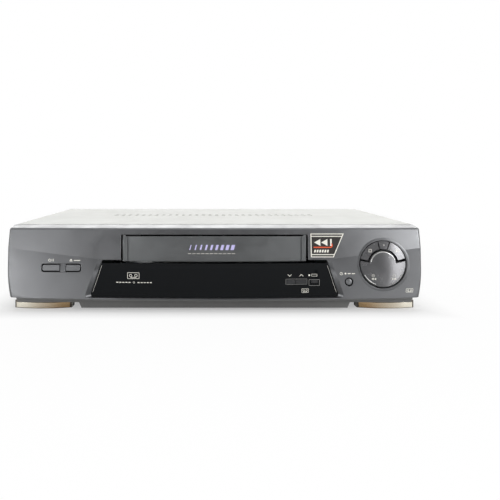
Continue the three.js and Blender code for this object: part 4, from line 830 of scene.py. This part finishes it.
def door_section(x, drawn_in, steps=4):
    """One upright cut through the flap, with rounded edges and an outline that is drawn in."""
    low, high = DOOR.bottom + drawn_in, DOOR.top - drawn_in
    radius = DOOR.round
    outline = []
    for z, up, run in ((low + radius, -1, reversed(quarter(steps))), (high - radius, 1, quarter(steps))):
        for along, inward in run:
            height = z + up * radius * along
            outline.append((door_reach(x, height) - drawn_in - radius * inward, height))
    back = DOOR.thick - drawn_in
    outline += [(door_reach(x, high) - back, high), (door_reach(x, low) - back, low)]
    return [(x, EDGE_Y - reach, z) for reach, z in outline]


def sideways(name, outline, first, last):
    """A body with one outline of places behind the front's edge, from one x to another."""
    return loft(name, [[(x, EDGE_Y + y, z) for y, z in outline] for x in (first, last)])


def door_hinge(side):
    """An arm behind the flap's upper corner, with its pin."""
    back, z, inset = HINGE.back, HINGE.z, 0.01
    outer = side * (DOOR.half - HINGE.inset)
    first, last = sorted((outer, outer - side * HINGE.wide))
    reach, low, high = back + HINGE.arm, HINGE.strut_low, HINGE.strut_high
    hinge = sideways("hinge", circle(back, z, HINGE.arm, 24), first, last)
    strut = [(0.0, low), (reach, low), (reach, high), (0.0, high)]
    join(hinge, sideways("strut", strut, first + inset, last - inset))
    ends = outer - side * HINGE.root, outer + side * HINGE.long
    return join(hinge, sideways("stub", circle(back, z, HINGE.pin, 20), *ends))


def door_rib(side):
    margin, middle = RIB.margin, side * RIB.x
    low, high = DOOR.bottom + margin, DOOR.top - margin

    def outline(inset):
        half = RIB.wide / 2 - inset
        return rounded(middle - half, middle + half, low + inset, high - inset, 0.4 - inset / 2)

    return applied(prism("rib", outline, RIB.back, rib_reach, 0.3))


def build_door(steps=40, edge_steps=4):
    half, radius = DOOR.half, DOOR.round
    edge = reversed(quarter(edge_steps))
    right = [(half - radius + radius * along, radius * inward) for along, inward in edge]
    right += [((half - radius) * (1 - i / steps), 0.0) for i in range(1, steps + 1)]
    columns = [(-x, drawn_in) for x, drawn_in in right] + list(reversed(right[:-1]))
    door = loft("door_flap", [door_section(x, drawn_in) for x, drawn_in in columns])
    for side in (-1, 1):
        join(door, door_rib(side))
        join(door, door_hinge(side))
    smooth(door.data, 30)
    steady_normals(door)
    return door


def domed(piece, slope, lean=0.12, frontal=-0.93):
    """Shades the front faces as one drawn curve across the dial, which leans back a little."""
    mesh = piece.data
    normals = [Vector((0, 0, 0))] * len(mesh.loops)
    for face in mesh.polygons:
        if face.normal.y > frontal:
            continue
        for loop in face.loop_indices:
            place = mesh.vertices[mesh.loops[loop].vertex_index].co / MM
            normals[loop] = Vector(((place.x - DIAL.x) / DIAL.disc * slope, -1, lean)).normalized()
    mesh.normals_split_custom_set(normals)


def build_moving_pieces():
    """The finer pieces that take the places of packed ones and ride with them."""
    made = [(build_door(), "cassette_door", "door")]
    first, second = PILL.divider
    for node, left, right, end in (
        ("power_button", PILL.left, first - PILL.gap, "left"),
        ("eject_button", second + PILL.gap, PILL.right, "right"),
    ):
        cap = prism(node + "_cap", half_pill(left, right, end), -3.0, on_skin(PILL.inset), 0.45)
        made.append((cap, node, "button"))
    for node, angles in RING_BUTTONS.items():
        cap = applied(prism(node + "_cap", sector(*DIAL.ring, *angles), -6.0, DIAL.ring_reach, 0.4))
        domed(cap, 0.27)
        made.append((cap, node, "dial"))
    made.append((build_disc(), "shuttle_disc", "dial"))
    made.append((build_timer(), "timer_button", "button"))
    made.append((build_window(), "display_window", "window"))
    for piece, node, slot in made:
        finish_with(piece, slot)
        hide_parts(node)
        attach(piece, BODY_OF[node])


def build_timer(steps=8):
    """A round cap with a low dome, which closes a little short of its middle."""
    x, z = TIMER.x, TIMER.z
    skin = front_reach(x, z)
    rings = [(circle(x, z, TIMER.radius, 48), skin - 4)]
    for i in range(steps + 1):
        turn = math.pi / 2 * i / steps
        radius = max(TIMER.radius * math.cos(turn * 0.985), 0.05)
        rings.append((circle(x, z, radius, 48), skin - TIMER.sunk + TIMER.dome * math.sin(turn)))
    piece = opening("timer_button_cap", rings)
    smooth(piece.data, 60)
    return piece


# Sizes of the pale end pieces that paint the highlight at each trim's inner end
TRIM_END_HIGHLIGHT = Sizes(x=(153.3, 155.5), z=(1.4, 6.3), deep=5.0, proud=0.25)


def build_trim_end_highlights():
    """A pale end piece over the inner end of each front foot and its trim, whose pale colour is a painted
    highlight on the trim's end.
    """
    low, high = TRIM_END_HIGHLIGHT.z
    for name, side in (("left", -1), ("right", 1)):
        first, last = sorted(side * x for x in TRIM_END_HIGHLIGHT.x)
        reach = skin_of("front_foot_" + name)(side * max(TRIM_END_HIGHLIGHT.x), (low + high) / 2)
        outline = rounded(first, last, low, high, 0.3)
        rings = [(outline, reach - TRIM_END_HIGHLIGHT.deep), (outline, reach + TRIM_END_HIGHLIGHT.proud)]
        cap = opening("trim_end_highlight_" + name, rings)
        smooth(cap.data)
        finish_with(cap, "white")
        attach(cap, BODY_OF["front_foot_" + name])


def upright(name, outline, low, high):
    return loft(name, [[(x, y, z) for x, y in outline] for z in (low, high)])


def build_fleece(half=134, margin=4, thick=0.7, fit=0.1, under=0.25):
    """Pale fleece glued under the cover against dust, which bulges into the slots."""
    cover_top = box_mm("top_cover")[1].z
    top = cover_top - 1.15
    front, back = VENTS.front, VENTS.back
    outline = rounded(-half, half, front - margin, back + margin, 3)
    fleece = upright("dust_fleece", outline, top - thick, top)
    slot_half = VENTS.wide / 2 - fit
    for i in range(VENTS.count):
        middle = (i - (VENTS.count - 1) / 2) * VENTS.pitch
        bulge = rounded(middle - slot_half, middle + slot_half, front + fit, back - fit, slot_half, 4)
        join(fleece, upright("pad", bulge, top - 0.3, cover_top - under))
    smooth(fleece.data, 30)
    finish_with(fleece, "fleece", "white")
    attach(fleece, BODY_OF["top_cover"])


def build_disc(sides=180, edge_steps=4, dome_steps=12):
    """The rocking disc: a shallow dome with its upper ring cut away for the three buttons."""
    x, z, edge = DIAL.x, DIAL.z, DIAL.disc_edge
    sizes = [(DIAL.disc, -4.0)]
    for along, inward in quarter(edge_steps):
        sizes.append((DIAL.disc - edge * inward, DIAL.disc_reach - edge * (1 - along)))
    for i in range(1, dome_steps + 1):
        radius = mix(DIAL.disc - edge, 0.2, i / dome_steps)
        sizes.append((radius, disc_reach(radius)))
    disc = opening("shuttle_disc_cap", [(circle(x, z, radius, sides), reach) for radius, reach in sizes])
    crown = sector(DIAL.crown, 30, *CROWN.angles)
    wide = CROWN.wide
    bevel = [(crown(-wide * share), crown_reach(share)) for share in (0, 0.25, 0.5, 0.75, 1)]
    cut(disc, opening("away", [(crown(0), -10), *bevel, (crown(-wide), 10)]))
    smooth(disc.data, 24)
    domed(disc, 0.3)
    # Painted highlight: bands of bright metal along the crown's bevel, over its upper arc
    crescent = []
    for k in range(CROWN_HIGHLIGHT.bands):
        outer = DIAL.crown - CROWN_HIGHLIGHT.inset - CROWN_HIGHLIGHT.wide * k
        crescent += arc_band(x, z, outer, CROWN_HIGHLIGHT.wide, *CROWN_HIGHLIGHT.angles, 60)
    printed("crown_highlight", "shuttle_disc", crescent, crown_skin, "bright", 0.04)
    for angles in RIDGES:
        ridge = prism("dial_ridge", sector(*RIDGE.ring, *angles), 0.0, RIDGE.reach, RIDGE.edge)
        finish_with(ridge, "bright", "dial")
        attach(ridge, BODY_OF["shuttle_disc"])
    return disc


def even_slope(x, z):
    """Slopes across and down of the part under the crease, evened out from the crease to the bottom."""
    def level(at):
        out = (at / HALF_WIDTH) ** 2
        crease = crease_height(at)
        high = mix(LEAN, END_LEAN, out) * (TOP_FRONT - crease) - TOP_BOW * out
        low = BULGE - BOTTOM_BOW * out
        share = min(max((crease - z) / (crease - BOTTOM), 0), 1)
        return mix(high, low, share), (low - high) / (crease - BOTTOM)

    across = (level(x + 1)[0] - level(x - 1)[0]) / 2
    return across, mix(level(x)[1], EVEN.down, 0.05 + 0.8 * (x / HALF_WIDTH) ** 2)


def evened(normal, corner, middle):
    """The skin's own normal, less its belly and with one bow above and below, which shades evenly."""
    frontal, fade = EVEN.frontal, EVEN.fade
    if normal.y > frontal:
        return normal
    x, z = corner.x / MM, corner.z / MM
    if middle.z / MM > crease_height(middle.x / MM):
        across = -2 * EVEN.bow * x / HALF_WIDTH ** 2
        down = mix(LEAN, END_LEAN, (x / HALF_WIDTH) ** 2)
    else:
        across, down = even_slope(x, z)
    share = min((frontal - normal.y) / fade, 1)
    return normal.lerp(Vector((-across, -1, down)).normalized(), share)


def follow_normals(piece, skin):
    """Gives every corner that lies on the uncut skin the skin's own smooth normal, evened out."""
    mesh, guide = piece.data, skin.data
    smooth(guide, 4.5)
    corner_normals = [Vector(n.vector) for n in guide.corner_normals]
    tree = tree_of(guide)
    near = 0.05 * MM
    normals = [Vector((0, 0, 0))] * len(mesh.loops)
    for face in mesh.polygons:
        _, direction, _, distance = tree.find_nearest(face.center)
        if distance > near or direction.dot(face.normal) < 0.95:
            continue
        for loop in face.loop_indices:
            corner = mesh.vertices[mesh.loops[loop].vertex_index].co
            place, _, index, _ = tree.find_nearest(corner.lerp(face.center, 0.02))
            below = guide.polygons[index]
            weights = corner_weights([guide.vertices[v].co for v in below.vertices], place)
            normal = Vector((0, 0, 0))
            for weight, guide_loop in zip(weights, below.loop_indices):
                normal += corner_normals[guide_loop] * weight
            normals[loop] = evened(normal.normalized(), corner, face.center).normalized()
    mesh.normals_split_custom_set(normals)


def corner_weights(corners, place):
    reaches = [1 / max((place - c).length, 1e-7) for c in corners]
    total = sum(reaches)
    return [r / total for r in reaches]


# Materials

def colour(r, g, b):
    """A colour as a screen shows it, from 0 to 255, in linear light."""
    def linear(value):
        value /= 255
        return value / 12.92 if value <= 0.04045 else ((value + 0.055) / 1.055) ** 2.4

    return (linear(r), linear(g), linear(b), 1.0)


def add_node(tree, kind, inputs, output, **settings):
    """A shader node with numbers, colours or other nodes' outputs for inputs; gives one of its outputs."""
    node = tree.nodes.new("ShaderNode" + kind)
    for name, value in settings.items():
        setattr(node, name, value)
    for name, value in inputs.items():
        if isinstance(value, bpy.types.NodeSocket):
            tree.links.new(value, node.inputs[name])
        else:
            node.inputs[name].default_value = value
    return node.outputs[output]


class Nodes:
    """A small builder for one material's nodes."""

    def __init__(self, name):
        self.material = bpy.data.materials.new(name)
        self.material.use_nodes = True
        self.tree = self.material.node_tree
        self.shader = self.tree.nodes["Principled BSDF"]
        self.place = self.add("TexCoord", {}, "Object")

    def add(self, kind, inputs, output, **settings):
        return add_node(self.tree, kind, inputs, output, **settings)

    def link(self, source, target):
        self.tree.links.new(source, target)

    def noise(self, scale, detail, rough=0.5, stretch=None):
        place = self.place
        if stretch:
            place = self.add("Mapping", {"Scale": stretch, "Vector": place}, "Vector")
        inputs = {"Scale": scale, "Detail": detail, "Roughness": rough, "Vector": place}
        return self.add("TexNoise", inputs, "Fac")

    def ramp(self, source, low, high, start=0.3, end=0.7):
        inputs = {"Value": source, "From Min": start, "From Max": end, "To Min": low, "To Max": high}
        return self.add("MapRange", inputs, "Result")

    def blend(self, share, first, second):
        return self.add("Mix", {"Factor": share, "A": first, "B": second}, "Result", data_type="RGBA")

    def bump(self, source, height):
        return self.add("Bump", {"Height": source, "Distance": height * MM, "Strength": 1.0}, "Normal")

    def maths(self, kind, first, second=0.0):
        return self.add("Math", {0: first, 1: second}, "Value", operation=kind)

    def away(self, axis, half=0.0):
        """How far the shaded place is past a distance from the middle, along one axis."""
        along = self.add("SeparateXYZ", {"Vector": self.place}, axis)
        return self.maths("SUBTRACT", self.maths("ABSOLUTE", along), half)

    def set(self, **values):
        names = {
            "colour": "Base Color", "rough": "Roughness", "metal": "Metallic",
            "specular": "Specular IOR Level", "coat": "Coat Weight", "coat_rough": "Coat Roughness",
        }
        for key, value in values.items():
            self.shader.inputs[names[key]].default_value = value


def shaded(base, share):
    return tuple(min(1, c * share) for c in base[:3]) + (1.0,)


def surface(name, shades, tint, gloss, rough, relief, height, **more):
    """Two shades, a range of roughness and a relief, each over its own noise."""
    n = Nodes(name)
    n.link(n.blend(n.ramp(n.noise(*tint), 0, 1), *shades), n.shader.inputs["Base Color"])
    n.link(n.ramp(n.noise(*gloss), *rough), n.shader.inputs["Roughness"])
    n.link(n.bump(n.noise(*relief), height), n.shader.inputs["Normal"])
    n.set(**more)
    return n.material


def plastic(name, base, rough, grain=0.006, specular=0.5, spread=0.06, **more):
    """Moulded plastic: a fine spark-eroded grain, slightly uneven gloss and faint handling marks."""
    shades = shaded(base, 1 - spread), shaded(base, 1 + spread)
    glosses = rough - 0.05, rough + 0.05
    return surface(name, shades, (26, 5), (60, 4), glosses, (2600, 3, 0.7), grain, specular=specular, **more)


def paint(name, base, rough):
    """Baked enamel on sheet steel: faint orange peel and a little dust dulling."""
    shades = shaded(base, 0.97), base
    return surface(name, shades, (14, 6), (40, 5), (rough - 0.04, rough + 0.06), (900, 2), 0.006)


def metal(name, base, rough, stretch=(1, 1, 1)):
    """Bare or plated metal with a direction to its brushing."""
    shades = shaded(base, 0.85), base
    fine, broad = (700, 3, 0.6, stretch), (300, 3, 0.6, stretch)
    return surface(name, shades, fine, broad, (rough - 0.06, rough + 0.08), fine, 0.004, metal=1.0)


def trim_with_painted_reflection(name, inner, outer, rough):
    """Champagne trim with a painted reflection over its own colour: browner towards the middle of the front,
    for the shaded floor it mirrors, and paler towards its ends, for the bright sides.
    """
    n = Nodes(name)
    n.link(n.blend(n.ramp(n.away("X"), 0, 1, *TRIM_REFLECTION_FADE), inner, outer), n.shader.inputs["Base Color"])
    n.link(n.ramp(n.noise(30, 3), rough - 0.03, rough + 0.05), n.shader.inputs["Roughness"])
    n.set(metal=0.8)
    return n.material


# Where the trims' painted reflection changes from brown to pale, in metres from the middle
TRIM_REFLECTION_FADE = (0.163, 0.205)
# Plastics and printing inks: colour, roughness and whatever else differs
INK = {"grain": 0.0, "spread": 0.02}
PLASTICS = {
    "fascia": (103, 104, 106, 0.37, {"metal": 0.76, "coat": 0.3, "coat_rough": 0.3}),
    "door": (112, 114, 115, 0.36, {"metal": 0.7}),
    "button": (114, 115, 117, 0.42, {"metal": 0.66}),
    "dial": (124, 124, 126, 0.25, {"grain": 0.003, "metal": 0.66}),
    "window": (14, 16, 18, 0.09, {"grain": 0.0, "spread": 0.02, "specular": 0.12}),
    "key": (38, 39, 41, 0.35, {"grain": 0.0}),
    "base": (92, 92, 91, 0.48, {}),
    "foot": (84, 78, 70, 0.5, {}),
    "black": (30, 30, 32, 0.5, {}),
    "white": (214, 210, 200, 0.5, {}),
    "rubber": (34, 34, 34, 0.75, {"grain": 0.02}),
    "board": (30, 62, 40, 0.5, {}),
    "board_dark": (16, 22, 18, 0.6, {}),
    "coil": (150, 90, 44, 0.4, {}),
    "glass": (30, 40, 38, 0.08, {"grain": 0.0}),
    "fleece": (216, 217, 212, 0.95, {"grain": 0.05, "spread": 0.15}),
    # Light grey for the painted highlight along the door's ribs
    "edge": (160, 162, 162, 0.4, {"grain": 0.0}),
    "print": (226, 224, 214, 0.55, INK),
    "print_dim": (176, 174, 168, 0.55, INK),
    "print_faint": (112, 112, 110, 0.5, INK),
    "ink": (30, 26, 23, 0.5, {"grain": 0.0, "spread": 0.04}),
    "orange": (222, 84, 40, 0.5, {"grain": 0.0, "spread": 0.03}),
    "lilac": (188, 182, 226, 0.5, {"grain": 0.0, "spread": 0.03}),
}
MATERIALS = {
    name: plastic(name, colour(*shade), rough, **more) for name, (*shade, rough, more) in PLASTICS.items()
}
MATERIALS |= {
    "cover": paint("cover", colour(198, 199, 193), 0.42),
    # The trim's two colours hold a painted reflection: browner in the middle, pale at the ends
    "gold": trim_with_painted_reflection("gold", colour(186, 156, 116), colour(242, 236, 220), 0.16),
    "bright": metal("bright", colour(196, 196, 194), 0.3),
    "steel": metal("steel", colour(180, 182, 184), 0.34, (40, 1, 1)),
    "drum": metal("drum", colour(222, 223, 226), 0.14, (1, 1, 40)),
    "brass": metal("brass", colour(205, 176, 110), 0.25),
}


def finish_with(piece, name, slot=None):
    piece.data.materials.clear()
    piece.data.materials.append(MATERIALS[name])
    slot or name
    return piece


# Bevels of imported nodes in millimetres, where 0.3 is not right, and looks that differ from their slots
BEVELS = {
    "front_fascia": 0, "top_cover": 0.25, "main_board": 0.1, "front_board": 0.1, "cam_gear": 0.1,
    "loading_pinion": 0.1,
}
LOOKS = {
    "front_board": "board_dark",
    "channel_down_button": "key", "channel_up_button": "key", "record_button": "key",
}


def dress_nodes():
    """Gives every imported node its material, softened edges and steady shading."""
    slots = {row["node"]: row["material_slot"] for row in frame["record"]["subparts"]}
    for name, piece in NODES.items():
        piece.data.materials.clear()
        piece.data.materials.append(MATERIALS[LOOKS.get(name, slots[name])])
        for face in piece.data.polygons:
            face.use_smooth = True
        weld = piece.modifiers.new("weld", "WELD")
        weld.merge_threshold = 0.002 * MM
        width = BEVELS.get(name, 0.3)
        if width:
            add_bevel(piece, width, 32)
        steady_normals(piece)


def build_pieces():
    fascia = finish_with(build_fascia(), "fascia")
    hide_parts("front_fascia")
    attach(fascia, BODY_OF["front_fascia"])
    build_moving_pieces()
    build_badge()
    build_fascia_marks()
    build_dial_marks()
    build_window_marks()
    build_door_marks()
    build_fleece()
    build_trim_end_highlights()


# Stage: lamps by name, place, target, size and power, in metres and watts

LAMPS = (
    ("left_box", (-0.94, -0.98, 0.17), (-0.2, -0.13, 0.03), (0.55, 0.32), 6.2),
    ("right_box", (0.98, -1.0, 0.5), (0.2, -0.13, 0.05), (0.5, 0.7), 10.8),
    ("top_box", (0, 0.3, 1.6), (0, 0, 0.05), (1.8, 1.2), 4.4),
    ("back_box", (0, 2.3, 0.95), (0, 0, 0.05), (3.6, 0.5), 18),
)
WORLD_LIGHT = 0.44
# The floor's shown share rises over these distances from the recorder, in metres
SHADOW = Sizes(near=(0.0, 0.036), near_share=(0.4, 0.93), far=(0.036, 0.4), far_share=(0.0, 0.07))


def area_light(name, place, target, size, power):
    data = bpy.data.lights.new(name, "AREA")
    data.shape = "RECTANGLE"
    data.size, data.size_y = size
    data.energy = power
    lamp = placed(name, data)
    lamp.location = place
    lamp.visible_camera = False
    lamp.rotation_mode = "QUATERNION"
    lamp.rotation_quaternion = (Vector(target) - Vector(place)).to_track_quat("-Z", "Y")


def floor_share(n):
    """How much of the floor's own white is shown: less under the recorder, where its shadow lies."""
    past = n.maths("MAXIMUM", n.away("X", HALF_WIDTH * MM), n.away("Y", -EDGE_Y * MM))
    near = n.ramp(past, *SHADOW.near_share, *SHADOW.near)
    far = n.ramp(past, *SHADOW.far_share, *SHADOW.far)
    return n.maths("ADD", near, far)


def build_floor():
    half, far = 4000, 6000
    corners = [(-half, -half, 0), (half, -half, 0), (half, far, 0), (-half, far, 0)]
    floor = make_mesh("floor", corners, [(0, 1, 2, 3)])
    n = Nodes("floor")
    n.set(colour=(0.97, 0.97, 0.97, 1.0), rough=0.7, specular=0.1)
    seen = n.add("LightPath", {}, "Is Camera Ray")
    share = n.maths("MULTIPLY", floor_share(n), seen)
    glow = n.add("Emission", {}, "Emission")
    either = n.add("MixShader", {0: share, 1: n.shader.outputs["BSDF"], 2: glow}, "Shader")
    n.link(either, n.tree.nodes["Material Output"].inputs["Surface"])
    floor.data.materials.append(n.material)


def build_card():
    """A dark card ahead of the recorder, which its glossy front mirrors."""
    left, right, y, low, high = -700, 850, -1500, -10, 1700
    corners = [(left, y, low), (right, y, low), (right, y, high), (left, y, high)]
    card = make_mesh("dark_card", corners, [(0, 1, 2, 3)])
    card.data.materials.append(plastic("card", colour(12, 12, 12), 0.9, grain=0.0))
    card.visible_camera = False


def build_world():
    """Dim light all round, and plain white wherever the camera, metal or glass sees past the object."""
    world = bpy.data.worlds.new("studio")
    bpy.context.scene.world = world
    world.use_nodes = True
    tree = world.node_tree
    back = tree.nodes["Background"]
    seen, glossy, through = (
        add_node(tree, "LightPath", {}, f"Is {ray} Ray") for ray in ("Camera", "Glossy", "Transmission")
    )
    for ray in (glossy, through):
        seen = add_node(tree, "Math", {0: seen, 1: ray}, "Value", operation="MAXIMUM")
    level = add_node(tree, "MapRange", {"Value": seen, "To Min": WORLD_LIGHT, "To Max": 1.0}, "Result")
    tree.links.new(level, back.inputs["Strength"])
    back.inputs["Color"].default_value = (1, 1, 1, 1)


def build_stage():
    build_floor()
    build_card()
    build_world()
    for lamp in LAMPS:
        area_light(*lamp)


# The camera as solved from the photograph, in millimetres, level and square to the front
CAMERA = Sizes(lens=44.15, sensor=36.0, shift=(0.0834, -0.1606), x=-6.5, before=645.7, z=148.6)


def build_camera():
    data = bpy.data.cameras.new("camera")
    data.sensor_width = CAMERA.sensor
    data.lens = CAMERA.lens
    data.shift_x, data.shift_y = CAMERA.shift
    camera = placed("camera", data)
    camera.location = (CAMERA.x * MM, (EDGE_Y - CAMERA.before) * MM, CAMERA.z * MM)
    camera.rotation_euler = (math.radians(90), 0, 0)
    bpy.context.scene.camera = camera


build_camera()
build_stage()
dress_nodes()
build_pieces()
bpy.context.scene.view_settings.view_transform = "Standard"
